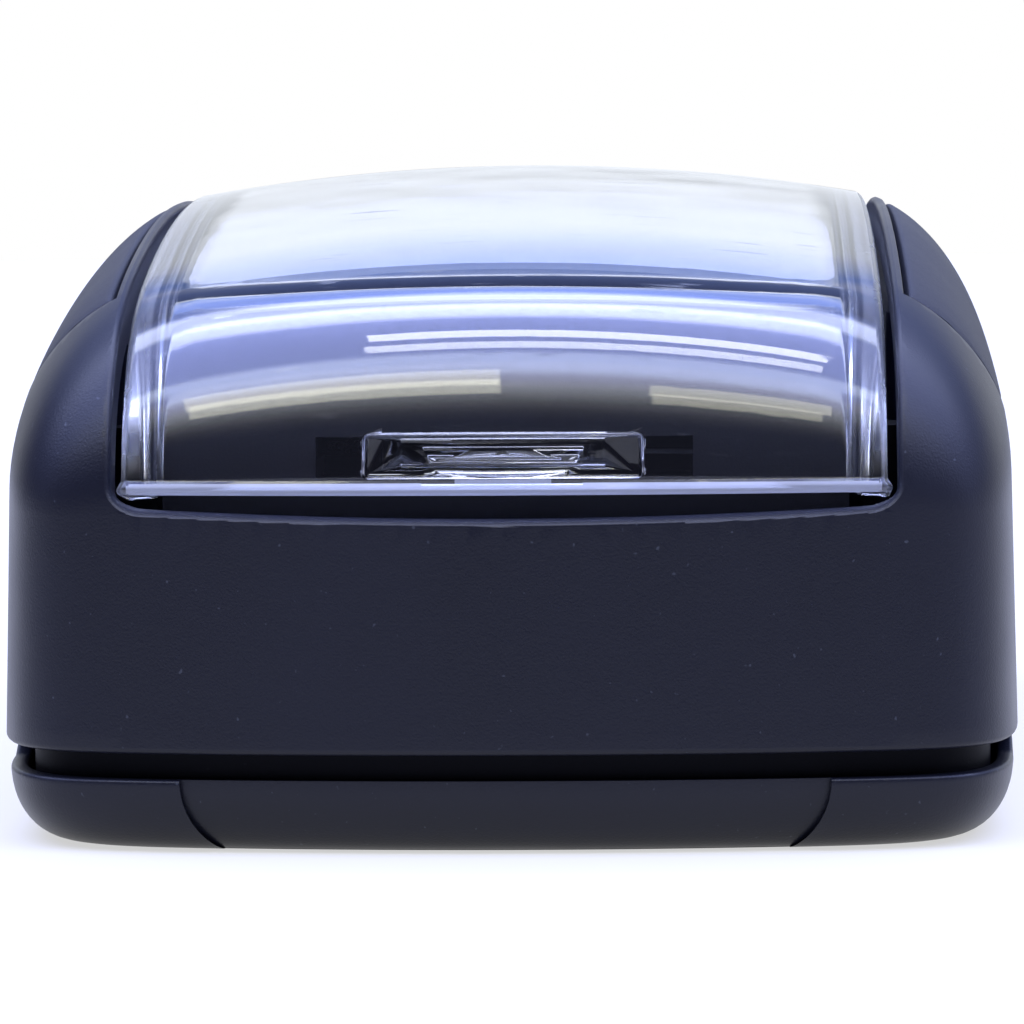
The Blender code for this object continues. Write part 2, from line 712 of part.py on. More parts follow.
def ink_reservoir_pad(paint):
    rectangle = rounded_rectangle(DIE_HALF_X, DIE_HALF_Y, TOUCH_GAP, 2)
    return prism("ink_reservoir_pad", rectangle, PAD_BOTTOM, PAD_TOP, "Z", paint)


def stamp_die(paint):
    """Rubber die: a flange that is clamped, and the printing face below it."""
    flange = rounded_rectangle(DIE_HALF_X, DIE_HALF_Y, DIE_FACE_STEP)
    face = rounded_rectangle(DIE_HALF_X - DIE_FACE_STEP, DIE_HALF_Y - DIE_FACE_STEP, DIE_FACE_STEP)
    levels = [
        (face, DIE_FACE),
        (face, DIE_FLANGE_BOTTOM),
        (flange, DIE_FLANGE_BOTTOM),
        (flange, DIE_TOP),
    ]
    return stack("stamp_die", [[(x, y, z) for x, y in ring] for ring, z in levels], paint)


def die_clamp_frame(paint):
    outer = rounded_rectangle(DIE_HALF_X + CLAMP_OUT, DIE_HALF_Y + CLAMP_OUT, CLAMP_WALL * 2)
    clamp = prism("die_clamp_frame", outer, CLAMP_BOTTOM, CLAMP_BOTTOM + CLAMP_HEIGHT, "Z", paint)
    room = CARRIER_OUT + TOUCH_GAP
    upper = rounded_rectangle(DIE_HALF_X + room, DIE_HALF_Y + room, CLAMP_WALL * 1.5)
    lower = rounded_rectangle(DIE_HALF_X - CLAMP_HOLD, DIE_HALF_Y - CLAMP_HOLD, CLAMP_WALL)
    return cut(
        clamp,
        prism("clamp_room", upper, CLAMP_BOTTOM + CLAMP_LIP, REACH),
        prism("clamp_mouth", lower, 0, CLAMP_BOTTOM + CLAMP_LIP / 2 + CLAMP_LIP),
    )


# ---------------------------------------------------------------- base frame and springs


def base_frame(paint):
    rings = [
        [(x, y, FRAME_BOTTOM) for x, y in outline(FRAME_INSET + FRAME_CHAMFER)],
        [(x, y, FRAME_BOTTOM + FRAME_CHAMFER) for x, y in outline(FRAME_INSET)],
        [(x, y, FRAME_TOP) for x, y in outline(FRAME_INSET)],
    ]
    frame = stack("base_frame", rings, paint)
    window = rounded_rectangle(HALF_WIDTH, SHELF_EDGE_Y, TOUCH_GAP, 1)
    through = prism("frame_window", window, 0, REACH)
    cut(
        frame,
        prism("frame_upper_space", outline(FRAME_INNER), SHELF_TOP, REACH),
        prism("frame_lower_space", outline(FRAME_INNER), 0, SHELF_BOTTOM),
        keep_inside(through, prism("frame_clear", outline(FRAME_INNER), -1, REACH + 1)),
    )
    for _, (x, y) in guide_places():
        radius = PIN_RADIUS + TOUCH_GAP
        cut(frame, turned("pin_hole", [(radius, 0), (radius, SHELF_TOP + 1)], (x, y)))
    return frame


def guide_pin(place, centre, paint):
    head_top = SHELF_BOTTOM - TOUCH_GAP
    top = CLIP_TOP + CLIP_STAND
    profile = [
        (PIN_HEAD_RADIUS, head_top - PIN_HEAD),
        (PIN_HEAD_RADIUS, head_top),
        (PIN_RADIUS, head_top),
        (PIN_RADIUS, top - PIN_RADIUS / 3),
        (PIN_RADIUS * 2 / 3, top),
    ]
    return turned(f"guide_pin_{place}", profile, centre, paint=paint)


def retaining_clip(place, centre, paint):
    disc = [(CLIP_RADIUS, CLIP_BOTTOM), (CLIP_RADIUS, CLIP_TOP)]
    clip = turned(f"retaining_clip_{place}", disc, centre, paint=paint)
    radius = PIN_RADIUS + TOUCH_GAP
    return cut(clip, turned("clip_hole", [(radius, 0), (radius, REACH)], centre))


def return_spring(place, centre, paint):
    """A compression coil as a closed tube, with a flat end on each side."""
    rise = SPRING_TOP - SPRING_BOTTOM - SPRING_WIRE
    count = round(SPRING_TURNS * SPRING_TURN_POINTS)
    rings = []
    for i in range(count + 1):
        angle = 2 * math.pi * SPRING_TURNS * i / count
        spot = Vector((math.cos(angle), math.sin(angle), 0)) * SPRING_RADIUS
        middle = Vector((*centre, SPRING_BOTTOM + SPRING_WIRE / 2 + rise * i / count)) + spot
        out = spot.normalized()
        ring = []
        for k in range(SPRING_SIDES):
            turn = 2 * math.pi * k / SPRING_SIDES
            round_wire = out * math.cos(turn) + Vector((0, 0, math.sin(turn)))
            ring.append(middle + round_wire * SPRING_WIRE / 2)
        rings.append(ring)
    return stack(f"return_spring_{place}", rings, paint)


def screw(name, centre, head_top, head_radius, head_height, radius, tip, paint):
    """A pan-head screw, driven upwards: its head is the lowest part."""
    profile = [
        (head_radius * 0.7, head_top - head_height),
        (head_radius, head_top - head_height * 0.5),
        (head_radius, head_top),
        (radius, head_top),
        (radius, tip - radius),
        (radius * 0.4, tip),
    ]
    return turned(name, profile, centre, SMALL_ROUND_POINTS, paint)


# ---------------------------------------------------------------- dust cap


def cap_form(name, inset, bottom, paint=None):
    """The cap's outside, drawn in by inset, with its rounded lower edge."""
    rings = []
    steps = 5
    for k in range(steps + 1):
        angle = math.pi / 2 * k / steps
        inward = CAP_EDGE_WIDTH * (1 - math.sin(angle))
        z = max(bottom, CAP_EDGE_HEIGHT * (1 - math.cos(angle)))
        if k and z <= bottom:
            continue
        rings.append([(x, y, z) for x, y in outline(CAP_INSET + inset + inward)])
    top = SHELL_BOTTOM - TOUCH_GAP
    rings.append([(x, y, top) for x, y in outline(CAP_INSET + inset)])
    return stack(name, rings, paint)


def notch_profile():
    """The finger recess seen from the end: straight sides that close in at the bottom."""
    points = [(-CAP_NOTCH_HALF, REACH)]
    steps = 4
    for i in range(steps + 1):
        angle = math.pi + i / steps * math.pi / 2
        x = -CAP_NOTCH_HALF + CAP_NOTCH_CORNER * (1 + math.cos(angle))
        points.append((x, CAP_END_TOP + CAP_NOTCH_CORNER * math.sin(angle)))
    return points + [(-x, z) for x, z in reversed(points)]


def dust_cap(paint):
    cap = cap_form("dust_cap", 0, 0, paint)
    wall = FRAME_INSET - TOUCH_GAP
    pocket = [
        [(x, y, CAP_FLOOR) for x, y in outline(wall + FRAME_CHAMFER)],
        [(x, y, CAP_FLOOR + FRAME_CHAMFER) for x, y in outline(wall)],
        [(x, y, REACH) for x, y in outline(wall)],
    ]
    low, high = CAP_END_TOP, CAP_END_TOP + CAP_TAB_SLOPE / 2
    half, slope = CAP_TAB_HALF, CAP_TAB_SLOPE
    ends = {
        "front": [(-REACH, low), (-half - slope, low), (-half, high), (-half, REACH), (-REACH, REACH)],
        "rear": [(REACH, low), (REACH, REACH), (half, REACH), (half, high), (half + slope, low)],
    }
    cut(cap, stack("cap_pocket", pocket))
    for end, sign in ENDS.items():
        cut(cap, prism(f"cap_{end}_rim", ends[end], -REACH, REACH, "X"))
        low_y, high_y = sorted((sign * CAP_TAB_HALF, sign * REACH))
        scoop = prism(f"cap_{end}_scoop", notch_profile(), low_y, high_y, "Y")
        cut(cap, cut(scoop, cap_form(f"cap_{end}_core", CAP_NOTCH_DEPTH, -1)))
    return cap


def cap_liner(paint):
    rectangle = rounded_rectangle(DIE_HALF_X + LINER_MARGIN, DIE_HALF_Y + LINER_MARGIN, LINER_MARGIN * 3)
    bottom = CAP_FLOOR + TOUCH_GAP
    return prism("cap_liner", rectangle, bottom, bottom + LINER_THICKNESS, "Z", paint)


# ---------------------------------------------------------------- assembly


def build():
    clear_scene()
    black = material("satin_black_abs", (0.022, 0.024, 0.036), 0.42)
    dark = material("grip_black", (0.030, 0.033, 0.048), 0.62)
    clear = material("clear_styrene", (0.93, 0.95, 0.97), 0.06, alpha=0.3)
    card = material("index_card_stock", (0.86, 0.87, 0.88), 0.75)
    rubber = material("die_rubber", (0.32, 0.12, 0.10), 0.6)
    foam = material("inked_foam", (0.03, 0.03, 0.04), 0.9)
    seal = material("plug_rubber", (0.05, 0.05, 0.055), 0.7)
    felt = material("liner_foam", (0.55, 0.56, 0.58), 0.95)
    steel = material("zinc_steel", (0.62, 0.62, 0.63), 0.3, metallic=1.0)

    housing_shell(black)
    for side, sign in SIDES.items():
        side_grip(side, sign, dark)
    index_window(clear)
    index_card(card)
    label_tray(black)
    for end, sign in ENDS.items():
        ink_plug(end, sign, seal)
    die_carrier(black)
    ink_reservoir_pad(foam)
    stamp_die(rubber)
    die_clamp_frame(black)
    base_frame(black)
    dust_cap(black)
    cap_liner(felt)
    for place, centre in guide_places():
        guide_pin(place, centre, steel)
        retaining_clip(place, centre, steel)
        return_spring(place, centre, steel)
    for place, centre in housing_screw_places():
        screw(
            f"housing_screw_{place}",
            centre,
            TRAY_BOTTOM - TOUCH_GAP,
            HOUSING_SCREW_HEAD,
            HOUSING_SCREW_HEAD_HEIGHT,
            HOUSING_SCREW_RADIUS,
            SHELL_SEAT + HOUSING_SCREW_BITE,
            steel,
        )
    for place, centre in carrier_screw_places():
        screw(
            f"carrier_screw_{place}",
            centre,
            CARRIER_PLATE_BOTTOM - TOUCH_GAP,
            CARRIER_SCREW_HEAD,
            CARRIER_SCREW_HEAD_HEIGHT,
            CARRIER_SCREW_RADIUS,
            TRAY_PLATE_TOP + CARRIER_SCREW_BITE,
            steel,
        )


build()
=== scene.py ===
"""The looks of a slim pre-inked stamp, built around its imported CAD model.

Every length below is in millimetres, and the meshes are made in metres.
X is the width, Y the length and Z is up. The end with the lid's latch faces -Y.
"""

import math

import bmesh
import bpy
import numpy as np
from mathutils import Matrix, Vector


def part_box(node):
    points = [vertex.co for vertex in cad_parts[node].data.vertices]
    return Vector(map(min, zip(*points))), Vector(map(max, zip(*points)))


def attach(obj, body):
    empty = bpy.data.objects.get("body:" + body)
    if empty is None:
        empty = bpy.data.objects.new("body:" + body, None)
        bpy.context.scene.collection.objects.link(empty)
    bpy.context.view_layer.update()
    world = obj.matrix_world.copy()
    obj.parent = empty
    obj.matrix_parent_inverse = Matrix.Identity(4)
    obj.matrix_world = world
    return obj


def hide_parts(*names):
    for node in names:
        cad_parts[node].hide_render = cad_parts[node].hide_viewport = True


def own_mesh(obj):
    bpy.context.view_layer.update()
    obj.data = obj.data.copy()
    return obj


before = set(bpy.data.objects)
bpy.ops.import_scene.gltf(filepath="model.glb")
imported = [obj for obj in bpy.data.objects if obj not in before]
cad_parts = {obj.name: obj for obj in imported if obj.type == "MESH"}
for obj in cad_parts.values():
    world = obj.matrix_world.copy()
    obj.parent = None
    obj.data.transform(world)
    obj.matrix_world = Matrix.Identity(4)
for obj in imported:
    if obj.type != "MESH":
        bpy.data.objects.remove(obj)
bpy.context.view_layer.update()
MM = 0.001

# ---------------------------------------------------------------- sizes


def node_box(node):
    """Lowest and highest corner of a CAD node, in millimetres."""
    low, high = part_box(node)
    return np.array(low) / MM, np.array(high) / MM


SHELL_LOW, SHELL_HIGH = node_box("housing_shell")
HALF_WIDTH = SHELL_HIGH[0]
HALF_LENGTH = SHELL_HIGH[1]
SHELL_BOTTOM = SHELL_LOW[2]
BODY_HEIGHT = node_box("index_window")[1][2]

# The body's form: a superellipse in plan, a domed top and rounded shoulders
OUTLINE_POWER = 12.0
END_BULGE = 2.6
DRAFT = 0.022
CROWN_RADIUS_X = 105.0
CROWN_RADIUS_Y = 180.0
SIDE_SHOULDER = 6.4
SIDE_SHOULDER_DEPTH = 7.6
END_SHOULDER = 7.5

TOUCH_GAP = 0.3
SKIRT_WALL = 1.0
SHELL_WALL = 2.1
SHELL_SEAT = 14.3
OPENING_HALF = HALF_WIDTH - 6.0
OPENING_BOTTOM = 15.3
OPENING_RISE = 0.3
OPENING_CORNER = 1.4

GRIP_LOW, GRIP_HIGH = node_box("right_side_grip")
GRIP_HALF = GRIP_HIGH[1]
GRIP_INNER = GRIP_LOW[0]
GRIP_BOTTOM = GRIP_LOW[2]
GRIP_THICKNESS = 0.7
GRIP_RISE = 1.3
GRIP_CORNER = 5.2

LID_LOW, LID_HIGH = node_box("index_window")
LID_HALF = LID_HIGH[0]
LID_BOTTOM = LID_LOW[2]
LID_WALL = 1.3
LID_SIDE_DEPTH = 5.5

CARD_HIGH = node_box("index_card")[1]
CARD_TOP = 1.6
CARD_THICKNESS = 0.25
CARD_CORNER = 3.0

TRAY_LOW = node_box("label_tray")[0]
TRAY_HALF = LID_HALF - LID_WALL - 0.4
TRAY_WALL = 1.2
TRAY_BOTTOM = node_box("die_carrier")[1][2] + TOUCH_GAP
TRAY_PLATE_TOP = TRAY_BOTTOM + 1.4
TRAY_PLATE_INSET = SKIRT_WALL + TOUCH_GAP
TRAY_END_SETBACK = 2.8
DECK_TOP = CARD_TOP + CARD_THICKNESS + TOUCH_GAP

SIDES = {"left": -1, "right": 1}
ENDS = {"front": -1, "rear": 1}
REACH = 60.0

OUTLINE_POINTS = 256

# ---------------------------------------------------------------- meshes


def mesh_object(name, points, faces):
    """Links a closed mesh given in millimetres, its faces turned outwards."""
    bm = bmesh.new()
    verts = [bm.verts.new(Vector(p) * MM) for p in points]
    for face in faces:
        bm.faces.new([verts[i] for i in face])
    bmesh.ops.recalc_face_normals(bm, faces=bm.faces)
    mesh = bpy.data.meshes.new(name)
    bm.to_mesh(mesh)
    bm.free()
    made = bpy.data.objects.new(name, mesh)
    bpy.context.scene.collection.objects.link(made)
    return made


def stack(name, rings, apex=None, floor=None):
    """A closed solid through rings of equal count, lowest ring first."""
    rings = [np.asarray(ring, float) for ring in rings]
    count = len(rings[0])
    points = list(np.concatenate(rings))
    faces = []
    for level in range(len(rings) - 1):
        low, high = level * count, (level + 1) * count
        for i in range(count):
            before = (i - 1) % count
            faces.append((low + before, low + i, high + i, high + before))
    for ring_start, tip in ((0, floor), ((len(rings) - 1) * count, apex)):
        if tip is None:
            faces.append(tuple(range(ring_start, ring_start + count)))
        else:
            points.append(np.asarray(tip, float))
            last = len(points) - 1
            faces += [(ring_start + (i - 1) % count, ring_start + i, last) for i in range(count)]
    return mesh_object(name, points, faces)


def block(name, layers):
    """A closed solid through grids of points of one shape, the first layer outermost."""
    rows, columns = layers[0].shape[:2]
    size = rows * columns
    points = np.concatenate([layer.reshape(-1, 3) for layer in layers])
    last = (len(layers) - 1) * size
    faces = []
    for i in range(rows - 1):
        for j in range(columns - 1):
            a, b = i * columns + j, (i + 1) * columns + j
            faces.append((a, a + 1, b + 1, b))
            faces.append((last + b, last + b + 1, last + a + 1, last + a))
    border = [*range(columns)] + [i * columns + columns - 1 for i in range(1, rows)]
    border += [(rows - 1) * columns + j for j in range(columns - 2, -1, -1)]
    border += [i * columns for i in range(rows - 2, 0, -1)]
    for k, here in enumerate(border):
        before = border[k - 1]
        for shift in range(0, last, size):
            faces.append((before + shift, here + shift, here + shift + size, before + shift + size))
    return mesh_object(name, points, faces)


def prism(name, outline, low, high, axis="Z"):
    """A closed solid of one outline, from low to high along the Y or Z axis."""
    place = {"Y": lambda p, t: (p[0], t, p[1]), "Z": lambda p, t: (p[0], p[1], t)}[axis]
    return stack(name, [[place(p, t) for p in outline] for t in (low, high)])


def box(name, low, high):
    outline = [(low[0], low[1]), (high[0], low[1]), (high[0], high[1]), (low[0], high[1])]
    return prism(name, outline, low[2], high[2])


def circle(radius, centre=(0.0, 0.0), points=48):
    turns = np.linspace(0, 2 * math.pi, points, endpoint=False)
    return np.stack([centre[0] + radius * np.cos(turns), centre[1] + radius * np.sin(turns)], axis=1)


def turned(name, profile, centre, points=48):
    """A round solid from (radius, z) pairs, lowest first."""
    rings = []
    for radius, z in profile:
        ring = circle(radius, centre, points)
        rings.append(np.column_stack([ring, np.full(points, z)]))
    return stack(name, rings)


def rounded_rectangle(half_x, half_y, radius, steps=10):
    points = []
    for quarter, (sx, sy) in enumerate(((1, 1), (-1, 1), (-1, -1), (1, -1))):
        for i in range(steps + 1):
            angle = (quarter + i / steps) * math.pi / 2
            x = sx * (half_x - radius) + radius * math.cos(angle)
            points.append((x, sy * (half_y - radius) + radius * math.sin(angle)))
    return points


def boolean(target, operation, *tools):
    """Joins, cuts or intersects target with the tools, which are used up."""
    for tool in tools:
        step = target.modifiers.new("step", "BOOLEAN")
        step.operation = operation
        step.object = tool
    bpy.context.view_layer.update()
    graph = bpy.context.evaluated_depsgraph_get()
    made = bpy.data.meshes.new_from_object(target.evaluated_get(graph))
    made.name = target.name
    target.modifiers.clear()
    target.data = made
    for tool in tools:
        bpy.data.objects.remove(tool)
    return target


def cut(target, *tools):
    return boolean(target, "DIFFERENCE", *tools)


def join(target, *tools):
    return boolean(target, "UNION", *tools)


def keep_inside(target, *tools):
    return boolean(target, "INTERSECT", *tools)


# ---------------------------------------------------------------- the body's form


def outline_directions(count):
    """Unit superellipse points, spaced evenly by a mix of distance and turning."""
    power = OUTLINE_POWER
    corner = 0.5 ** (1 / power)
    first = np.linspace(0, corner, 2001)
    partner = (1 - first**power) ** (1 / power)
    c = np.concatenate([first, partner[-2::-1]])
    s = np.concatenate([partner, first[-2::-1]])
    x, y = place_on_outline(c, s)
    run = np.concatenate([[0], np.cumsum(np.hypot(np.diff(x), np.diff(y)))])
    heading = np.arctan2(-np.diff(y), np.diff(x))
    turn = np.concatenate([[0], np.cumsum(np.abs(np.diff(heading, prepend=heading[0])))])
    share = 0.4 * run / run[-1] + 0.6 * turn / turn[-1]
    steps = count // 4
    wanted = np.arange(steps + 1) / steps
    c, s = np.interp(wanted, share, c), np.interp(wanted, share, s)
    s = np.where(c < corner, (1 - c**power) ** (1 / power), s)
    c = np.where(c < corner, c, (1 - np.minimum(s, 1) ** power) ** (1 / power))
    right_rear = np.column_stack([c[::-1], s[::-1]])
    left_rear = np.column_stack([-c, s])
    left_front = np.column_stack([-c[::-1], -s[::-1]])
    right_front = np.column_stack([c, -s])
    return np.concatenate([right_rear[:-1], left_rear[:-1], left_front[:-1], right_front[:-1]])


def place_on_outline(c, s, side=0.0, end=0.0):
    """The outline's point in direction (c, s), drawn in at the sides and ends."""
    return (HALF_WIDTH - side) * c, (HALF_LENGTH - end - END_BULGE * c * c) * s


DIRECTIONS = outline_directions(OUTLINE_POINTS)
ACROSS, ALONG = DIRECTIONS.T


def outline(inset):
    return np.column_stack(place_on_outline(ACROSS, ALONG, inset, inset))


def level(points, z):
    return np.column_stack([points, np.full(len(points), z)])


def crown(x, y):
    """Height of the body's domed top."""
    return BODY_HEIGHT - x * x / (2 * CROWN_RADIUS_X) - y * y / (2 * CROWN_RADIUS_Y)


def end_share(c, s):
    """How far a point of the outline belongs to an end (1) rather than a side (0)."""
    along, across = np.abs(s) ** OUTLINE_POWER, np.abs(c) ** OUTLINE_POWER
    return along / np.maximum(along + across, 1e-12)


def leaned(x, y, z):
    """Draws points inwards with height, by the walls' draft."""
    inward = DRAFT * (z - SHELL_BOTTOM)
    return np.stack([x * (1 - inward / HALF_WIDTH), y * (1 - inward / HALF_LENGTH), z], axis=-1)


def form_rings(inset, shoulder_steps=16, crown_steps=8):
    """Rings of the body's surface drawn in by inset, from the shoulder's foot up to the crown."""
    rings = []
    share = end_share(ACROSS, ALONG)
    depth = (SIDE_SHOULDER_DEPTH - inset[2]) * (1 - share) + (END_SHOULDER - inset[2]) * share
    for k in range(shoulder_steps + 1):
        angle = math.pi / 2 * k / shoulder_steps
        inward, drop = 1 - math.cos(angle), 1 - math.sin(angle)
        side = inset[0] + (SIDE_SHOULDER - inset[0]) * inward
        end = inset[1] + (END_SHOULDER - inset[1]) * inward
        x, y = place_on_outline(ACROSS, ALONG, side, end)
        rings.append(leaned(x, y, crown(x, y) - inset[2] - depth * drop))
    rim = rings[-1]
    for k in range(1, crown_steps):
        x, y = rim[:, 0] * (1 - k / crown_steps), rim[:, 1] * (1 - k / crown_steps)
        rings.append(np.column_stack([x, y, crown(x, y) - inset[2]]))
    return rings


def wall_ring(inset, z):
    x, y = place_on_outline(ACROSS, ALONG, inset[0], inset[1])
    return leaned(x, y, np.full(len(x), z))


def body_solid(name, inset, bottom):
    rings = [wall_ring(inset, bottom), *form_rings(inset)]
    return stack(name, rings, apex=(0, 0, BODY_HEIGHT - inset[2]))


def inside_body(x, y, z):
    """True where a point is inside the body's outer form. Arrays of one shape."""
    inward = DRAFT * (z - SHELL_BOTTOM)
    across = np.abs(x) / (1 - inward / HALF_WIDTH)
    along = np.abs(y) / (1 - inward / HALF_LENGTH)
    low, high = np.zeros_like(x), np.ones_like(x)

    def beyond(k):
        c = across / (HALF_WIDTH - SIDE_SHOULDER * k)
        s = along / (HALF_LENGTH - END_SHOULDER * k - END_BULGE * np.minimum(1.0, c) ** 2)
        return c, s, c**OUTLINE_POWER + s**OUTLINE_POWER > 1

    outside = beyond(low)[2]
    for _ in range(26):
        middle = (low + high) / 2
        out = beyond(middle)[2]
        high = np.where(out, middle, high)
        low = np.where(out, low, middle)
    c, s, _ = beyond(low)
    share = end_share(c, s)
    depth = SIDE_SHOULDER_DEPTH * (1 - share) + END_SHOULDER * share
    top = crown(across, along) - depth * (1 - np.sqrt(np.maximum(0.0, 1 - (1 - low) ** 2)))
    return ~outside & (z < top)


def cast(start, direction, far=60.0):
    """Distance from start along direction to the body's outer surface."""
    low = np.zeros(start.shape[:-1])
    high = np.full(start.shape[:-1], far)
    for _ in range(30):
        middle = (low + high) / 2
        spot = start + direction * middle[..., None]
        inside = inside_body(spot[..., 0], spot[..., 1], spot[..., 2])
        low = np.where(inside, middle, low)
        high = np.where(inside, high, middle)
    return low


# Along the arch from the front's lower edge over the top to the rear's: an angle
# about a pivot near each end, then straight along the length.
PIVOT_Y = HALF_LENGTH - 10.0
ARCH_BEND = 14.0  # mm of the arch coordinate that the turn about a pivot takes
ARCH_END = PIVOT_Y + ARCH_BEND


def arch(x, t, bottom):
    """Points of the body's surface at width x and arch coordinate t, and the way inwards.

    t runs from -ARCH_END at the front's lower edge, at height bottom, to ARCH_END at the rear's.
    """

    def spot(t):
        reach = np.abs(t)
        turn = np.clip((ARCH_END - reach) / ARCH_BEND, -0.2, 1.0) * math.pi / 2
        y = np.minimum(reach, PIVOT_Y)
        start = np.stack([x, y, np.full_like(x, 1.0) * bottom], axis=-1)
        way = np.stack([np.zeros_like(x), np.cos(turn), np.sin(turn)], axis=-1)
        found = start + way * cast(start, way)[..., None]
        found[..., 1] *= np.where(t < 0, -1, 1)
        return found

    x, t = np.broadcast_arrays(np.asarray(x, float), np.asarray(t, float))
    step = 0.15
    before, after = spot(t - step), spot(t + step)
    along = after - before
    along[..., 0] = 0
    along /= np.linalg.norm(along, axis=-1, keepdims=True)
    inwards = np.stack([np.zeros_like(x), along[..., 2], -along[..., 1]], axis=-1)
    return spot(t), inwards


def with_edges(low, high, count, edge, fine=5):
    """Positions from low to high, crowded at both ends over the length of an edge rounding."""
    angles = np.linspace(0, math.pi / 2, fine + 1)
    near = edge * (1 - np.cos(angles))
    middle = np.linspace(low + edge, high - edge, count)
    return np.concatenate([low + near[:-1], middle, (high - near[:-1])[::-1]])


def rounding(distance, radius):
    """How far an edge rounding draws a surface in at this distance from the edge."""
    left = np.clip(radius - distance, 0, radius)
    return radius - np.sqrt(radius**2 - left**2)


# ---------------------------------------------------------------- placing finished pieces


def finish_piece(made, body, material, nodes, edge=0.0):
    """Gives a piece its material, smooth shading and rounded edges, and sets it on its body."""
    made.data.materials.clear()
    made.data.materials.append(material)
    made.data.shade_smooth()
    made.data.set_sharp_from_angle(angle=math.radians(32))
    if edge:
        soften(made, edge)
    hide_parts(*nodes)
    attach(made, body)
    return made


def soften(made, width, angle=35):
    bevel = made.modifiers.new("soft_edges", "BEVEL")
    bevel.width = width * MM
    bevel.segments = 3
    bevel.limit_method = "ANGLE"
    bevel.angle_limit = math.radians(angle)
    bevel.harden_normals = True


# ---------------------------------------------------------------- housing

BOSS_RADIUS = 1.6
BOSS_TOP = 22.2
HOLE_RADIUS = 1.0
HOLE_DEPTH = 4.5
FLARE = 0.5  # rounding where an opening meets the outer surface
FLARE_END = math.radians(65)


def flare_layers(radius, depth, outside=0.3, steps=5):
    """(depth, widening) pairs of a cutter that leaves a rounded rim, outermost first."""
    top = math.sin(FLARE_END)
    pairs = []
    for k in range(steps + 1):
        angle = FLARE_END * (1 - k / steps)
        pairs.append((radius * (top - math.sin(angle)), radius * (1 - math.cos(angle))))
    wide = pairs[0][1] + outside * math.tan(FLARE_END)
    return [(-outside, wide), *pairs, (depth, 0.0)]


def rim_height(x, widen):
    """Height of the window opening's lower rim over x, the opening widened all round."""
    straight = OPENING_HALF - OPENING_CORNER
    corner = OPENING_CORNER + widen
    past = np.clip(np.abs(x) - straight, 0, corner)
    rise = OPENING_RISE * np.minimum(np.abs(x) / straight, 1) ** 2
    return OPENING_BOTTOM - widen + rise + corner - np.sqrt(corner**2 - past**2)


def opening_cutter():
    """The belt that is cut out of the shell's front, top and rear."""
    corner_angles = np.linspace(0, math.pi / 2, 9)
    layers = []
    share = np.linspace(-1, 1, 161)[None, :]
    for depth, widen in flare_layers(FLARE, 4.5):
        straight = OPENING_HALF - OPENING_CORNER
        corner = (OPENING_CORNER + widen) * np.sin(corner_angles)
        middle = np.linspace(-straight, straight, 25)
        x = np.concatenate([(-straight - corner)[:0:-1], middle, (straight + corner)[1:]])[:, None]
        wall = HALF_LENGTH - 0.25 - PIVOT_Y
        turn = np.arctan2(rim_height(x, widen) - LID_BOTTOM, wall)
        reach = ARCH_END - turn / (math.pi / 2) * ARCH_BEND
        spots, inwards = arch(x, share * reach, LID_BOTTOM)
        layers.append(spots + inwards * depth)
    return block("opening", layers)


def grip_edge(y, gap):
    """Height of a grip's lower edge, and half its length, drawn in by gap."""
    half = GRIP_HALF + TOUCH_GAP - gap
    corner = GRIP_CORNER + TOUCH_GAP - gap
    straight = half - corner
    past = np.clip(np.abs(y) - straight, 0, corner)
    low = GRIP_BOTTOM - TOUCH_GAP + gap
    rise = GRIP_RISE * np.minimum(np.abs(y) / straight, 1) ** 2
    return low + rise + corner - np.sqrt(corner**2 - past**2)


FLANK_PIVOT = 17.0  # x and z of the line from which the flank's points are cast


def flank(y, share, gap):
    """Points of the right flank between a grip's lower and upper edge, and the way inwards."""
    y = np.asarray(y, float)

    def ray(angle):
        pivot = np.full_like(angle, FLANK_PIVOT)
        start = np.stack([pivot, np.broadcast_to(y, angle.shape), pivot], axis=-1)
        way = np.stack([np.cos(angle), np.zeros_like(angle), np.sin(angle)], axis=-1)
        return start + way * cast(start, way)[..., None]

    edge = grip_edge(y, gap)
    start = np.stack([np.full_like(y, FLANK_PIVOT), y, edge], axis=-1)
    out = np.broadcast_to(np.array([1.0, 0.0, 0.0]), start.shape)
    low = np.arctan2(edge - FLANK_PIVOT, cast(start, out))
    inner = GRIP_INNER - TOUCH_GAP + gap
    start = np.stack([np.full_like(y, inner), y, np.full_like(y, FLANK_PIVOT)], axis=-1)
    up = np.broadcast_to(np.array([0.0, 0.0, 1.0]), start.shape)
    high = np.arctan2(cast(start, up), inner - FLANK_PIVOT)
    angle = low + (high - low) * share
    spots = ray(angle)
    along = ray(angle + 0.01) - ray(angle - 0.01)
    along[..., 1] = 0
    along /= np.linalg.norm(along, axis=-1, keepdims=True)
    inwards = np.stack([-along[..., 2], np.zeros_like(angle), along[..., 0]], axis=-1)
    return spots, inwards


def mirrored(points, sign):
    return points * np.array([sign, 1.0, 1.0])


def grip_pocket(sign):
    layers = []
    for depth, widen in flare_layers(0.16, 1.0, steps=3):
        half = GRIP_HALF + TOUCH_GAP + widen
        y = with_edges(-half, half, 61, 5.0, 12)[:, None]
        share = np.linspace(0, 1, 33)[None, :]
        y, share = np.broadcast_arrays(y, share)
        spots, inwards = flank(y, share, -widen)
        layers.append(mirrored(spots + inwards * depth, sign))
    return block("grip_pocket", layers)


def four_places():
    """Name endings of the pieces that come in fours, one near each corner."""
    return [f"{end}_{side}" for end in ENDS for side in SIDES]


def centre_of(node):
    low, high = node_box(node)
    return tuple((low + high)[:2] / 2)


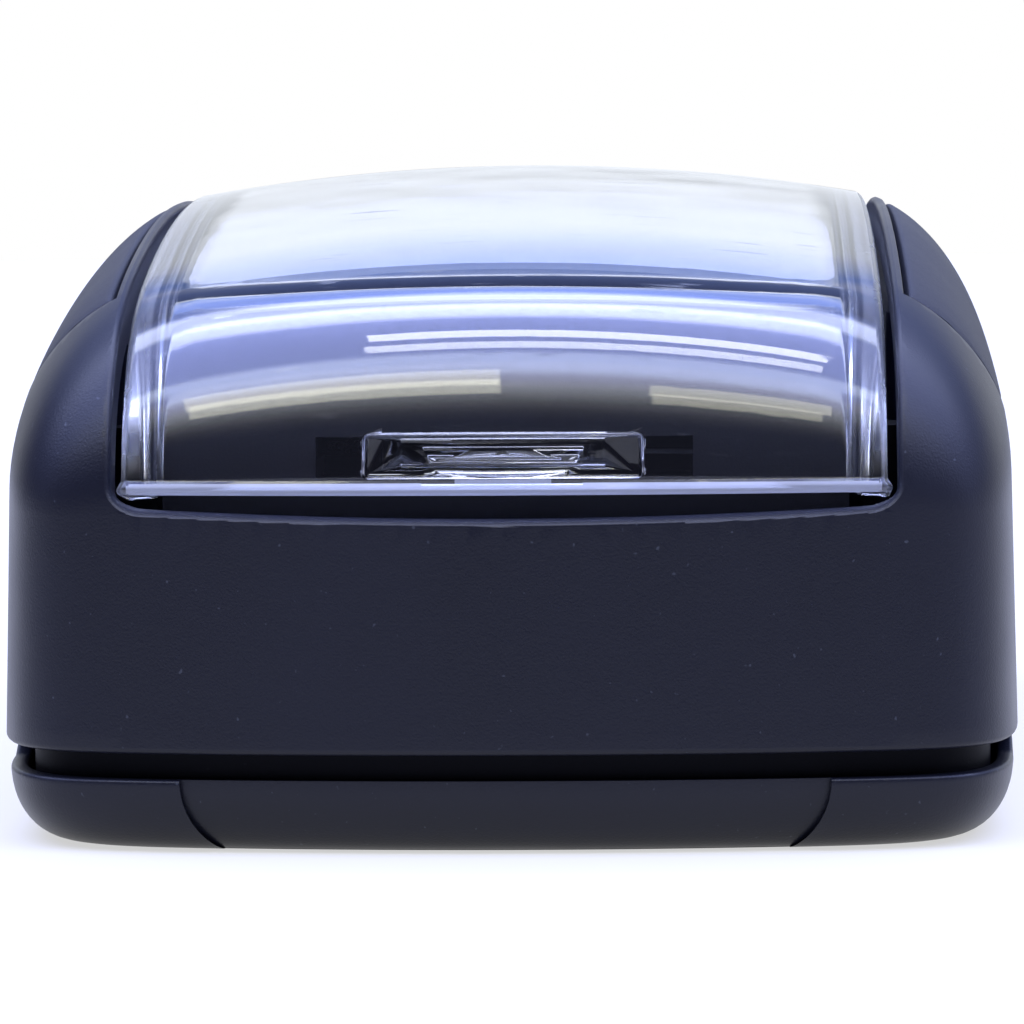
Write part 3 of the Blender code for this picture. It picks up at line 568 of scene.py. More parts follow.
def housing_shell(material):
    inner = (SHELL_WALL,) * 3
    rings = form_rings(inner)[::-1]
    rings += [wall_ring(inner, SHELL_SEAT)]
    rings += [level(outline(SKIRT_WALL), z) for z in (SHELL_SEAT, SHELL_BOTTOM + 0.15)]
    rings += [level(outline(SKIRT_WALL - 0.15), SHELL_BOTTOM)]
    lip = 0.3
    for angle in np.linspace(0, math.pi / 2, 6):
        drawn = lip * (1 - math.sin(angle))
        rings.append(wall_ring((drawn,) * 3, SHELL_BOTTOM + lip * (1 - math.cos(angle))))
    rings += [wall_ring((0, 0, 0), z) for z in np.linspace(SHELL_BOTTOM + 1, 15.5, 8)]
    rings += form_rings((0, 0, 0), 24)
    apex, floor = (0, 0, BODY_HEIGHT), (0, 0, BODY_HEIGHT - SHELL_WALL)
    shell = stack("housing_shell_moulding", rings, apex, floor)
    for place in four_places():
        centre = centre_of(f"housing_screw_{place}")
        boss = turned("boss", [(BOSS_RADIUS, SHELL_SEAT), (BOSS_RADIUS, BOSS_TOP)], centre, 32)
        hole = turned("hole", [(HOLE_RADIUS, 0), (HOLE_RADIUS, SHELL_SEAT + HOLE_DEPTH)], centre, 32)
        cut(join(shell, boss), hole)
    cut(shell, opening_cutter(), *[grip_pocket(sign) for sign in SIDES.values()])
    finish_piece(shell, "housing", material, ["housing_shell"])
    even = shell.modifiers.new("even shading", "WEIGHTED_NORMAL")
    even.keep_sharp = True
    even.weight = 80
    return shell


def side_grip(side, sign, material):
    edge = 0.22
    half = GRIP_HALF
    y = with_edges(-half, half, 71, edge)[:, None]
    share = with_edges(0, 1, 41, edge / 13.0)[None, :]
    y, share = np.broadcast_arrays(y, share)
    spots, inwards = flank(y, share, TOUCH_GAP)
    lengths = np.linalg.norm(np.diff(spots, axis=1), axis=-1)
    run = np.concatenate([np.zeros((len(y), 1)), np.cumsum(lengths, axis=1)], axis=1)
    across = np.minimum(run, run[:, -1:] - run)
    rim = np.minimum(across, half - np.abs(y))
    outer = spots + inwards * (0.03 + rounding(rim, edge))[..., None]
    inner = spots + inwards * GRIP_THICKNESS
    grip = block(f"{side}_grip_pad", [mirrored(outer, sign), mirrored(inner, sign)])
    return finish_piece(grip, "housing", material, [f"{side}_side_grip"])


# ---------------------------------------------------------------- window

LATCH_HALF = 6.4
LATCH_BOTTOM = LID_BOTTOM + 0.55
LATCH_TOP = LATCH_BOTTOM + 2.1
LATCH_BACK = HALF_LENGTH - 2.5
HINGE_Y = HALF_LENGTH - LID_WALL / 2
HINGE_Z = LID_BOTTOM + 0.7
HOOK_X = 5.5
HOOK_HALF = 1.5
HOOK_REACH = 2.7  # from the hinge inwards
HOOK_RADIUS = 0.4


def lid_section(reach):
    """The lid's cross-section as two paths of (x, depth), tip to tip: outside and inside."""
    tip, outer_corner, inner_corner = 0.3, 0.4, 0.9
    angles = np.linspace(0, math.pi / 2, 7)
    tip_run = reach - tip * (1 - np.sin(angles))
    tip_in = tip * (1 - np.cos(angles))[::-1]
    out_x = np.concatenate([LID_HALF - tip_in, np.full(8, LID_HALF)])
    out_d = np.concatenate([tip_run[::-1], np.linspace(reach - 0.6, outer_corner, 9)[:-1]])
    in_x = np.concatenate([LID_HALF - LID_WALL + tip_in, np.full(8, LID_HALF - LID_WALL)])
    in_d = np.concatenate([tip_run[::-1], np.linspace(reach - 0.6, LID_WALL + inner_corner, 9)[:-1]])
    turn = np.linspace(0, math.pi / 2, 9)
    for r, x, d, top, edge in (
        (outer_corner, "out", None, 0.0, LID_HALF),
        (inner_corner, "in", None, LID_WALL, LID_HALF - LID_WALL),
    ):
        corner_x = edge - r * (1 - np.cos(turn))
        corner_d = top + r * (1 - np.sin(turn))
        flat = np.linspace(edge - r, 0, 15)[1:]
        if x == "out":
            out_x = np.concatenate([out_x, corner_x, flat])
            out_d = np.concatenate([out_d, corner_d, np.full(14, top)])
        else:
            in_x = np.concatenate([in_x, corner_x, flat])
            in_d = np.concatenate([in_d, corner_d, np.full(14, top)])
    whole = lambda x, d: (np.concatenate([-x, x[-2::-1]]), np.concatenate([d, d[-2::-1]]))
    return whole(out_x, out_d), whole(in_x, in_d)


def path_normals(x, d):
    """Unit normals along a path of (x, depth)."""
    dx, dd = np.gradient(x), np.gradient(d)
    size = np.hypot(dx, dd)
    return dd / size, -dx / size


LIP_HEIGHT = 0.53


def edge_faces(made, materials):
    """Gives the lid's hanging side walls a darker clear material, a painted shade standing in for the
    dark housing around them, and its end lips a frosted one.
    """
    for extra in materials:
        made.data.materials.append(extra)
    side = (LID_HALF - LID_WALL - 0.2) * MM
    lip = (LID_BOTTOM + LIP_HEIGHT) * MM
    end = (HALF_LENGTH - LID_WALL - 0.3) * MM
    for face in made.data.polygons:
        # painted shade: these side-wall faces get the darker tinted clear material
        if abs(face.normal.x) > 0.35 and abs(face.center.x) > side:
            face.material_index = 1
        elif face.center.z < lip and abs(face.center.y) > end:
            face.material_index = 2


def latch_ribs():
    """Low ribs across the latch block's inner side, as one object."""
    points, faces = [], []
    for below_top, half in ((0.4, 4.6), (0.75, 3.6), (1.1, 3.4), (1.5, 4.6)):
        start, z = len(points), LATCH_TOP - below_top
        foot, crest = LATCH_BACK + 0.1, LATCH_BACK - 0.1
        section = ((foot, z - 0.14), (crest, z - 0.04), (crest, z + 0.04), (foot, z + 0.14))
        for x in (-half, half):
            points += [(x, -y, z) for y, z in section]
        faces += [tuple(range(start, start + 4)), tuple(range(start + 4, start + 8))]
        for i in range(4):
            after = (i + 1) % 4
            faces.append((start + i, start + after, start + 4 + after, start + 4 + i))
    return mesh_object("ribs", points, faces)


def finger_scoop():
    """The shallow hollow on the lid's front, over the latch block."""
    rings = []
    half_x, radius = 4.6, 0.62
    middle = LATCH_BOTTOM + 0.85
    around = np.linspace(0, 2 * math.pi, 48, endpoint=False)
    for up in np.linspace(-math.pi / 2, math.pi / 2, 15)[1:-1]:
        x, y = half_x * math.cos(up) * np.cos(around), radius * math.cos(up) * np.sin(around)
        ring = np.column_stack([x, y - HALF_LENGTH + 0.02])
        rings.append(level(ring, middle + radius * math.sin(up)))
    return stack("scoop", rings)


def index_window(material, edge_materials):
    (out_x, out_d), (in_x, in_d) = lid_section(LID_SIDE_DEPTH)
    edge = 0.25
    bends = np.linspace(ARCH_END - 1.3, PIVOT_Y, 40)
    flat = np.linspace(PIVOT_Y, 0, 20)[1:]
    ring = edge * (1 - np.sin(np.linspace(0, math.pi / 2, 7)))[::-1]
    flange = ARCH_END - np.linspace(edge, 1.0, 9)
    half = np.concatenate([ARCH_END - ring[::-1][:-1], flange, bends, flat])
    t = np.concatenate([-half, half[-2::-1]])[:, None]
    drawn = rounding(ARCH_END - np.abs(t), edge)
    bead = 0.22 * np.clip((np.abs(t) - (ARCH_END - 0.72)) / 0.4, 0, 1)
    sides = []
    for x, d, sign in ((out_x, out_d, 1), (in_x, in_d, -1)):
        nx, nd = path_normals(x, d)
        shift = (bead * (sign > 0) - drawn) * sign
        xs, ds = x[None, :] + nx[None, :] * shift, d[None, :] + nd[None, :] * shift
        spots, inwards = arch(xs, np.broadcast_to(t, xs.shape), LID_BOTTOM)
        sides.append(spots + inwards * ds[..., None])
    lid = block("index_window_lid", sides)
    wall = HALF_LENGTH - 0.9
    latch = box("latch", (-LATCH_HALF, -wall, LATCH_BOTTOM), (LATCH_HALF, -LATCH_BACK, LATCH_TOP))
    soften(latch, 0.32)
    join(lid, latch)
    join(lid, latch_ribs())
    cut(lid, finger_scoop())
    for sign in SIDES.values():
        x = sign * HOOK_X
        low = (x - HOOK_HALF, HINGE_Y - HOOK_REACH, HINGE_Z - HOOK_RADIUS)
        join(lid, box("hook", low, (x + HOOK_HALF, wall, HINGE_Z + HOOK_RADIUS)))
    lid = finish_piece(lid, "window", material, ["index_window"])
    edge_faces(lid, edge_materials)
    lid.visible_shadow = False
    return lid


def index_card(material):
    half_x, half_y = CARD_HIGH[0], CARD_HIGH[1]
    round_off = CARD_CORNER * (1 - np.cos(np.linspace(0, math.pi / 2, 12)))[1:]
    y = np.concatenate([[-half_y], -half_y + round_off])
    straight = np.linspace(-half_y + CARD_CORNER, half_y - CARD_CORNER, 60)[1:-1]
    y = np.concatenate([y, straight, -y[::-1]])[:, None]
    past = np.clip(np.abs(y) - (half_y - CARD_CORNER), 0, CARD_CORNER)
    reach = half_x - CARD_CORNER + np.sqrt(CARD_CORNER**2 - past**2)
    x = np.linspace(-1, 1, 33)[None, :] * reach
    spots, inwards = arch(x, np.broadcast_to(y, x.shape), LID_BOTTOM)
    faces = [spots + inwards * depth for depth in (CARD_TOP, CARD_TOP + CARD_THICKNESS)]
    card = block("index_card_sheet", faces)
    return finish_piece(card, "housing", material, ["index_card"])


# ---------------------------------------------------------------- label tray

PORT_Y = 22.0
PORT_RADIUS = 2.0
SLOT_HALF = 8.6
LATCH_SLOT = (16.95, 18.85)  # lower and upper edge
HOOK_SLOT = (16.45, 19.75)
PLUG_TOP = node_box("ink_port_plug_front")[1][2]


def hat(name, wall, bottom):
    """The tray's raised middle, drawn in by wall: a belt across the top of the body's form."""
    half = TRAY_HALF - wall
    inset = (DECK_TOP + wall, TRAY_END_SETBACK + wall, DECK_TOP + wall)
    belt = box(name, (-half, -REACH, bottom), (half, REACH, REACH))
    return keep_inside(belt, body_solid("form", inset, bottom - 1))


def label_tray(material):
    edge = 0.15
    plate = [(edge, TRAY_BOTTOM), (0, TRAY_BOTTOM + edge)]
    plate += [(0, TRAY_PLATE_TOP - edge), (edge, TRAY_PLATE_TOP)]
    rings = [level(outline(TRAY_PLATE_INSET + drawn), z) for drawn, z in plate]
    tray = stack("label_tray_moulding", rings)
    join(tray, hat("hat", 0, TRAY_BOTTOM + 0.7))
    carrier_x, carrier_y = 13.2, 35.5
    cut(tray, hat("space", TRAY_WALL, TRAY_PLATE_TOP))
    throat_top = TRAY_PLATE_TOP + TRAY_WALL
    cut(tray, box("throat", (-carrier_x, -carrier_y, 0), (carrier_x, carrier_y, throat_top)))
    for place in four_places():
        guide = centre_of(f"guide_pin_{place}")
        screw = centre_of(f"carrier_screw_{place}")
        join(tray, turned("boss", [(2.8, TRAY_LOW[2]), (2.8, TRAY_PLATE_TOP - 0.3)], guide))
        join(tray, turned("boss", [(2.4, TRAY_BOTTOM + 0.3), (2.4, TRAY_PLATE_TOP + 4.5)], screw))
        cut(tray, turned("bore", [(1.45, 0), (1.45, SHELL_SEAT + 1)], guide))
        cut(tray, turned("bore", [(1.2, 0), (1.2, TRAY_PLATE_TOP + 3.3)], screw))
        cut(tray, turned("bore", [(1.0, 0), (1.0, SHELL_SEAT + 1)], centre_of(f"housing_screw_{place}")))
    for sign in ENDS.values():
        centre = (0, sign * PORT_Y)
        wall = PORT_RADIUS + 1
        join(tray, turned("tube", [(wall, TRAY_BOTTOM), (wall, PLUG_TOP - 0.6)], centre))
        cut(tray, turned("bore", [(PORT_RADIUS, 0), (PORT_RADIUS, REACH)], centre))
        cut(tray, turned("seat", [(2.9, PLUG_TOP - 0.9), (2.9, REACH)], centre))
    inner = HALF_LENGTH - TRAY_END_SETBACK - 2 * TRAY_WALL
    low, high = LATCH_SLOT
    cut(tray, box("latch_slot", (-SLOT_HALF, -REACH, low), (SLOT_HALF, -inner, high)))
    low, high = HOOK_SLOT
    cut(tray, box("hook_slot", (-SLOT_HALF, inner, low), (SLOT_HALF, REACH, high)))
    return finish_piece(tray, "housing", material, ["label_tray"])


def ink_plug(end, sign, material):
    top = PLUG_TOP
    profile = [(1.36, top - 3.6), (1.7, top - 2.75), (1.7, top - 0.6)]
    profile += [(2.5, top - 0.6), (2.6, top - 0.5)]
    profile += [(2.6, top - 0.12), (2.48, top), (1.5, top), (1.4, top - 0.15), (0.2, top - 0.15)]
    plug = turned(f"ink_plug_{end}", profile, (0, sign * PORT_Y))
    return finish_piece(plug, "housing", material, [f"ink_port_plug_{end}"])


# ---------------------------------------------------------------- base frame and dust cap

FRAME_LOW, FRAME_HIGH = node_box("base_frame")
FRAME_INSET = SKIRT_WALL + 0.25
FRAME_INNER = FRAME_INSET + 1.3
SHELF_BOTTOM = FRAME_LOW[2] + 1.1
SHELF_TOP = SHELF_BOTTOM + 1.0
SHELF_EDGE_Y = 37.3


def base_frame(material):
    chamfer = 0.7
    rings = [level(outline(FRAME_INSET + chamfer), FRAME_LOW[2])]
    for angle in np.linspace(0, math.pi / 2, 6):
        drawn = chamfer * (1 - math.sin(angle))
        z = FRAME_LOW[2] + chamfer * (1 - math.cos(angle)) + 0.02
        rings.append(level(outline(FRAME_INSET + drawn * 0.9), z))
    top = FRAME_HIGH[2]
    rings += [level(outline(FRAME_INSET), top - 0.2), level(outline(FRAME_INSET + 0.06), top - 0.06)]
    rings += [level(outline(FRAME_INSET + 0.2), top)]
    base = stack("base_frame_moulding", rings)
    through = prism("window", rounded_rectangle(HALF_WIDTH, SHELF_EDGE_Y, 0.3, 3), 0, REACH)
    keep_inside(through, prism("clear", outline(FRAME_INNER), -1, REACH + 1))
    cut(base, prism("upper", outline(FRAME_INNER), SHELF_TOP, REACH))
    cut(base, prism("lower", outline(FRAME_INNER), 0, SHELF_BOTTOM))
    cut(base, through)
    for place in four_places():
        cut(base, turned("hole", [(1.5, 0), (1.5, SHELF_TOP + 1)], centre_of(f"guide_pin_{place}")))
    return finish_piece(base, "frame", material, ["base_frame"])


CAP_INSET = 0.2
CAP_FLOOR = 1.5
CAP_END_TOP = 3.4
CAP_TOP = node_box("dust_cap")[1][2]
CAP_TAB_HALF = 32.0
CAP_TAB_SLOPE = 1.6
CAP_EDGE_WIDTH = 2.4
CAP_EDGE_HEIGHT = 3.3
CAP_NOTCH_HALF = 14.9
CAP_NOTCH_CORNER = 4.0
CAP_NOTCH_DEPTH = 0.3


def cap_rim_height(y):
    """The rim stands higher along the middle of the long sides."""
    share = np.clip((CAP_TAB_HALF + CAP_TAB_SLOPE - np.abs(y)) / CAP_TAB_SLOPE, 0, 1)
    return CAP_END_TOP + (CAP_TOP - CAP_END_TOP) * share * share * (3 - 2 * share)


def cap_edge(steps=14):
    """(inset, height) pairs of the rounded lower edge."""
    for angle in np.linspace(0, math.pi / 2, steps + 1):
        yield CAP_EDGE_WIDTH * (1 - math.sin(angle)), CAP_EDGE_HEIGHT * (1 - math.cos(angle))


def dust_cap(material):
    wall = 0.95
    lip = 0.18
    rings = [level(outline(CAP_INSET + drawn), min(z, CAP_END_TOP - 0.3)) for drawn, z in cap_edge()]
    ys = outline(CAP_INSET)[:, 1]
    rim = cap_rim_height(ys)
    for angle in np.linspace(0, math.pi / 2, 5):
        shape = outline(CAP_INSET + lip * (1 - math.cos(angle)))
        rings.append(np.column_stack([shape, rim - lip * (1 - math.sin(angle))]))
    for angle in np.linspace(math.pi / 2, 0, 5):
        shape = outline(wall - lip * (1 - math.cos(angle)))
        rings.append(np.column_stack([shape, rim - lip * (1 - math.sin(angle))]))
    rings += [level(outline(wall), CAP_FLOOR + 0.7), level(outline(wall + 0.2), CAP_FLOOR + 0.2)]
    rings += [level(outline(wall + 0.7), CAP_FLOOR)]
    cap = stack("dust_cap_moulding", rings)
    for sign in ENDS.values():
        points = [(-CAP_NOTCH_HALF, REACH)]
        for angle in np.linspace(math.pi, 1.5 * math.pi, 13):
            x = -CAP_NOTCH_HALF + CAP_NOTCH_CORNER * (1 + math.cos(angle))
            points.append((x, CAP_END_TOP + CAP_NOTCH_CORNER * math.sin(angle)))
        points += [(-x, z) for x, z in reversed(points)]
        scoop = prism("scoop", points, *sorted((sign * CAP_TAB_HALF, sign * REACH)), "Y")
        inset = CAP_INSET + CAP_NOTCH_DEPTH
        core = [level(outline(inset + drawn), z if z else -1) for drawn, z in cap_edge()]
        core.append(level(outline(inset), REACH + 1))
        cut(cap, cut(scoop, stack("core", core)))
    return finish_piece(cap, "cap", material, ["dust_cap"])


# ---------------------------------------------------------------- small hardware


def guide_pin(place, material):
    low, high = node_box(f"guide_pin_{place}")
    z, top = low[2], high[2]
    profile = [(1.5, z), (2.05, z + 0.06), (2.2, z + 0.2), (2.2, z + 0.5), (2.1, z + 0.6)]
    profile += [(1.2, z + 0.6), (1.2, top - 0.4), (0.8, top)]
    pin = turned(f"guide_pin_{place}_turned", profile, centre_of(f"guide_pin_{place}"))
    return finish_piece(pin, "frame", material, [f"guide_pin_{place}"])


def retaining_clip(place, material):
    """A spring clip: a ring that is open on one side."""
    low, high = node_box(f"retaining_clip_{place}")
    x, y = centre_of(f"retaining_clip_{place}")
    z, top = low[2], high[2]
    clip = turned("clip", [(2.1, z), (2.2, z + 0.1), (2.2, top - 0.1), (2.1, top)], (x, y))
    cut(clip, turned("hole", [(1.5, 0), (1.5, REACH)], (x, y)))
    cut(clip, box("mouth", (x - 0.9, y, 0), (x + 0.9, y + 4, REACH)))
    clip.name = f"retaining_clip_{place}_open_ring"
    return finish_piece(clip, "frame", material, [f"retaining_clip_{place}"])


def pan_screw(kind, place, material):
    node = f"{kind}_{place}"
    low, high = node_box(node)
    head = (high - low)[0] / 2
    x, y = centre_of(node)
    radius = {"housing_screw": 0.7, "carrier_screw": 0.9}[kind]
    tall = {"housing_screw": 0.9, "carrier_screw": 1.0}[kind]
    z = low[2]
    profile = [(head * 0.55, z), (head * 0.82, z + tall * 0.15), (head * 0.96, z + tall * 0.4)]
    profile += [(head, z + tall * 0.7), (head, z + tall * 0.95), (head * 0.97, z + tall)]
    profile += [(radius, z + tall)]
    pitch, thread = 0.45, 0.12
    turn_z = z + tall + 0.3
    while turn_z + pitch < high[2] - radius:
        profile += [(radius - thread, turn_z)]
        profile += [(radius, turn_z + pitch * 0.4), (radius, turn_z + pitch * 0.5)]
        turn_z += pitch
    profile += [(radius - thread, high[2] - radius), (radius * 0.3, high[2])]
    made = turned(f"{node}_pan_head", profile, (x, y), 32)
    width, reach = head * 0.2, head * 0.62
    cut(made, box("recess", (x - reach, y - width, z - 1), (x + reach, y + width, z + tall * 0.55)))
    cut(made, box("recess", (x - width, y - reach, z - 1), (x + width, y + reach, z + tall * 0.55)))
    return finish_piece(made, "housing", material, [node])


SPRING_TURNS = 4.5
SPRING_WIRE = 0.45


def return_spring(place, material):
    """A compression coil whose end turns lie close together."""
    node = f"return_spring_{place}"
    low, high = node_box(node)
    x, y = centre_of(f"guide_pin_{place}")
    radius, wire = 2.05, SPRING_WIRE / 2
    turns, sides = SPRING_TURNS, 12
    steps = round(turns * 40)
    rings = []
    for i in range(steps + 1):
        share = i / steps
        angle = 2 * math.pi * turns * share
        eased = share + 0.045 * -math.sin(2 * math.pi * share)
        z = low[2] + wire + (high[2] - low[2] - 2 * wire) * eased
        ring = []
        for k in range(sides):
            around = 2 * math.pi * k / sides
            far, lift = radius + wire * math.cos(around), wire * math.sin(around)
            ring.append((x + far * math.cos(angle), y + far * math.sin(angle), z + lift))
        rings.append(ring)
    coil = stack(f"{node}_coil", rings)
    finish_piece(coil, "housing", material, [node])
    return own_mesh(coil)


def stamp_die(material):
    """Rubber die with a raised border and blank raised bars on its printing side."""
    low, high = node_box("stamp_die")
    half_x, half_y = high[0], high[1]
    face_x, face_y = half_x - 0.9, half_y - 0.9
    flange_z = high[2] - 0.9
    rings = []
    for drawn, z in ((0.1, low[2]), (0, low[2] + 0.1), (0, flange_z)):
        rings.append([(x, y, z) for x, y in rounded_rectangle(face_x - drawn, face_y - drawn, 0.9)])
    for drawn, z in ((0, flange_z), (0, high[2] - 0.1), (0.1, high[2])):
        rings.append([(x, y, z) for x, y in rounded_rectangle(half_x - drawn, half_y - drawn, 0.9)])
    die = stack("stamp_die_rubber", rings)
    ground = low[2] + 0.55
    pocket = prism("ground", rounded_rectangle(face_x - 1.6, face_y - 1.6, 0.8), 0, ground)
    cut(die, pocket)
    inner_x = face_x - 4.2
    for row, length in enumerate((25.0, 28.0, 21.0)):
        x = (row - 1) * inner_x * 0.75
        bar = prism("bar", rounded_rectangle(0.9, length, 0.5, 5), low[2], ground + 0.3)
        bar.data.transform(Matrix.Translation((x * MM, 0, 0)))
        join(die, bar)
    return finish_piece(die, "housing", material, ["stamp_die"])


# ---------------------------------------------------------------- materials


def shader_for(name, color, roughness, metallic=0.0):
    made = bpy.data.materials.new(name)
    made.use_nodes = True
    shader = made.node_tree.nodes["Principled BSDF"]
    shader.inputs["Base Color"].default_value = (*color, 1.0)
    shader.inputs["Roughness"].default_value = roughness
    shader.inputs["Metallic"].default_value = metallic
    return made, made.node_tree, shader


def noise(tree, scale, detail=3.0, stretch=(1.0, 1.0, 1.0)):
    """A noise value fixed to the object. Scale is in features per millimetre."""
    place = tree.nodes.new("ShaderNodeTexCoord")
    mapping = tree.nodes.new("ShaderNodeMapping")
    mapping.inputs["Scale"].default_value = [scale / MM * s for s in stretch]
    texture = tree.nodes.new("ShaderNodeTexNoise")
    texture.inputs["Scale"].default_value = 1.0
    texture.inputs["Detail"].default_value = detail
    tree.links.new(place.outputs["Object"], mapping.inputs["Vector"])
    tree.links.new(mapping.outputs["Vector"], texture.inputs["Vector"])
    return texture.outputs["Fac"]


def spread(tree, value, low, high, out_low, out_high):
    """value's range low to high turned into out_low to out_high."""
    node = tree.nodes.new("ShaderNodeMapRange")
    node.inputs["From Min"].default_value = low
    node.inputs["From Max"].default_value = high
    node.inputs["To Min"].default_value = out_low
    node.inputs["To Max"].default_value = out_high
    tree.links.new(value, node.inputs["Value"])
    return node.outputs["Result"]


def mix_colors(tree, factor, first, second):
    """From the first colour to the second by factor. The first is a socket or three numbers."""
    node = tree.nodes.new("ShaderNodeMix")
    node.data_type = "RGBA"
    if isinstance(first, bpy.types.NodeSocket):
        tree.links.new(first, node.inputs["A"])
    else:
        node.inputs["A"].default_value = (*first, 1.0)
    node.inputs["B"].default_value = (*second, 1.0)
    tree.links.new(factor, node.inputs["Factor"])
    return node.outputs["Result"]


def calculate(tree, operation, first, second):
    """The result of a Math node on two values, each a socket or a number."""
    node = tree.nodes.new("ShaderNodeMath")
    node.operation = operation
    for socket, value in zip(node.inputs, (first, second)):
        if isinstance(value, bpy.types.NodeSocket):
            tree.links.new(value, socket)
        else:
            socket.default_value = value
    return node.outputs["Value"]


def bump(tree, shader, *layers):
    """Each layer is a height value and its depth in millimetres."""
    below = None
    for height, depth in layers:
        node = tree.nodes.new("ShaderNodeBump")
        node.inputs["Strength"].default_value = 1.0
        node.inputs["Distance"].default_value = depth * MM
        tree.links.new(height, node.inputs["Height"])
        if below:
            tree.links.new(below, node.inputs["Normal"])
        below = node.outputs["Normal"]
    tree.links.new(below, shader.inputs["Normal"])


def black_plastic(name, color, pale, roughness, grain, gloss):
    """Moulded plastic: a fine grain, faint cloudy wear and a few pale dust specks."""
    made, tree, shader = shader_for(name, color, roughness)
    shader.inputs["Specular IOR Level"].default_value = gloss
    clouds = noise(tree, 0.09, 4)
    fine = noise(tree, 9.0, 2)
    specks = spread(tree, noise(tree, 2.6, 1), 0.75, 0.8, 0.0, 0.4)
    base = mix_colors(tree, spread(tree, clouds, 0.3, 0.7, 0.0, 1.0), color, [c * 1.25 for c in color])
    tree.links.new(mix_colors(tree, specks, base, pale), shader.inputs["Base Color"])
    rough = spread(tree, clouds, 0.3, 0.7, roughness - 0.04, roughness + 0.05)
    tree.links.new(rough, shader.inputs["Roughness"])
    bump(tree, shader, (fine, grain), (noise(tree, 1.1, 3), grain * 0.6))
    return made


def clear_plastic(name, color, polish):
    """Polished clear styrene with hairline scratches and a faint waviness."""
    made, tree, shader = shader_for(name, color, polish)
    shader.inputs["IOR"].default_value = 1.5
    shader.inputs["Transmission Weight"].default_value = 1.0
    scratches = spread(tree, noise(tree, 0.8, 4, (0.25, 1.6, 1.6)), 0.66, 0.74, 0.0, 1.0)
    waves = noise(tree, 0.12, 1)
    rough = spread(tree, scratches, 0.0, 1.0, polish, polish + 0.2)
    tree.links.new(rough, shader.inputs["Roughness"])
    bump(tree, shader, (waves, 0.012), (scratches, 0.0012))
    return made


def card_stock():
    made, tree, shader = shader_for("index_card_fine", (0.21, 0.215, 0.23), 0.7)
    fibres = noise(tree, 3.0, 6, (1.0, 0.3, 1.0))
    share = spread(tree, fibres, 0.3, 0.7, 0.0, 1.0)
    tone = mix_colors(tree, share, (0.20, 0.205, 0.22), (0.225, 0.23, 0.245))
    tree.links.new(tone, shader.inputs["Base Color"])
    bump(tree, shader, (fibres, 0.01))
    return made


def zinc():
    made, tree, shader = shader_for("zinc_steel_fine", (0.62, 0.62, 0.64), 0.28, 1.0)
    patches = noise(tree, 1.4, 4)
    share = spread(tree, patches, 0.3, 0.7, 0.0, 1.0)
    tone = mix_colors(tree, share, (0.5, 0.5, 0.53), (0.68, 0.68, 0.69))
    tree.links.new(tone, shader.inputs["Base Color"])
    tree.links.new(spread(tree, patches, 0.3, 0.7, 0.2, 0.38), shader.inputs["Roughness"])
    bump(tree, shader, (noise(tree, 6.0, 3), 0.004))
    return made


def soft_material(name, color, second, roughness, scale, depth):
    """Rubber, foam and felt: two tones in a pore pattern."""
    made, tree, shader = shader_for(name, color, roughness)
    pores = noise(tree, scale, 5)
    tone = mix_colors(tree, spread(tree, pores, 0.35, 0.65, 0.0, 1.0), color, second)
    tree.links.new(tone, shader.inputs["Base Color"])
    bump(tree, shader, (pores, depth))
    return made


# ---------------------------------------------------------------- the object


def build_object():
    body = black_plastic(
        "housing_black_fine", (0.0042, 0.005, 0.0115), (0.08, 0.09, 0.12), 0.38, grain=0.012, gloss=0.3
    )
    inner = black_plastic(
        "inner_black_fine", (0.004, 0.0042, 0.006), (0.02, 0.02, 0.025), 0.6, grain=0.008, gloss=0.06
    )
    grip = black_plastic(
        "grip_black_fine", (0.0065, 0.0075, 0.0145), (0.06, 0.07, 0.09), 0.55, grain=0.03, gloss=0.35
    )
    clear = clear_plastic("clear_styrene_fine", (0.985, 0.99, 1.0), 0.02)
    # painted shade: the side walls' clear plastic is tinted grey-blue and roughened so they look as dark
    # as the housing around them makes them
    edge = clear_plastic("clear_styrene_painted_shade_edge_fine", (0.42, 0.44, 0.48), 0.24)
    lip = clear_plastic("clear_styrene_lip_fine", (0.4, 0.42, 0.5), 0.35)
    lip.node_tree.nodes["Principled BSDF"].inputs["Transmission Weight"].default_value = 0.55
    card = card_stock()
    steel = zinc()
    seal = soft_material("plug_rubber_fine", (0.02, 0.02, 0.022), (0.032, 0.032, 0.035), 0.7, 3.0, 0.01)
    rubber = soft_material("die_rubber_fine", (0.23, 0.06, 0.045), (0.3, 0.09, 0.07), 0.62, 7.0, 0.012)
    foam = soft_material("inked_foam_fine", (0.006, 0.006, 0.01), (0.02, 0.02, 0.028), 0.8, 2.2, 0.08)
    felt = soft_material("liner_foam_fine", (0.2, 0.2, 0.22), (0.34, 0.34, 0.36), 0.95, 2.6, 0.08)

    housing_shell(body)
    for side, sign in SIDES.items():
        side_grip(side, sign, grip)
    index_window(clear, (edge, lip))
    index_card(card)
    label_tray(inner)
    for end, sign in ENDS.items():
        ink_plug(end, sign, seal)
    base_frame(inner)
    dust_cap(body)
    stamp_die(rubber)
    for place in four_places():
        guide_pin(place, steel)
        retaining_clip(place, steel)
        return_spring(place, steel)
        pan_screw("housing_screw", place, steel)
        pan_screw("carrier_screw", place, steel)
    for node, material in (
        ("die_carrier", inner),
        ("die_clamp_frame", inner),
        ("ink_reservoir_pad", foam),
        ("cap_liner", felt),
    ):
        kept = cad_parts[node]
        kept.data.materials.clear()
        kept.data.materials.append(material)
        soften(kept, 0.15)


# ---------------------------------------------------------------- camera, floor and light

CAMERA_PLACE = (9.38, -327.5, 35.34)
CAMERA_YAW = -0.0319
CAMERA_PITCH = 0.0699
CAMERA_ROLL = 0.0068
CAMERA_LENS = 218.1


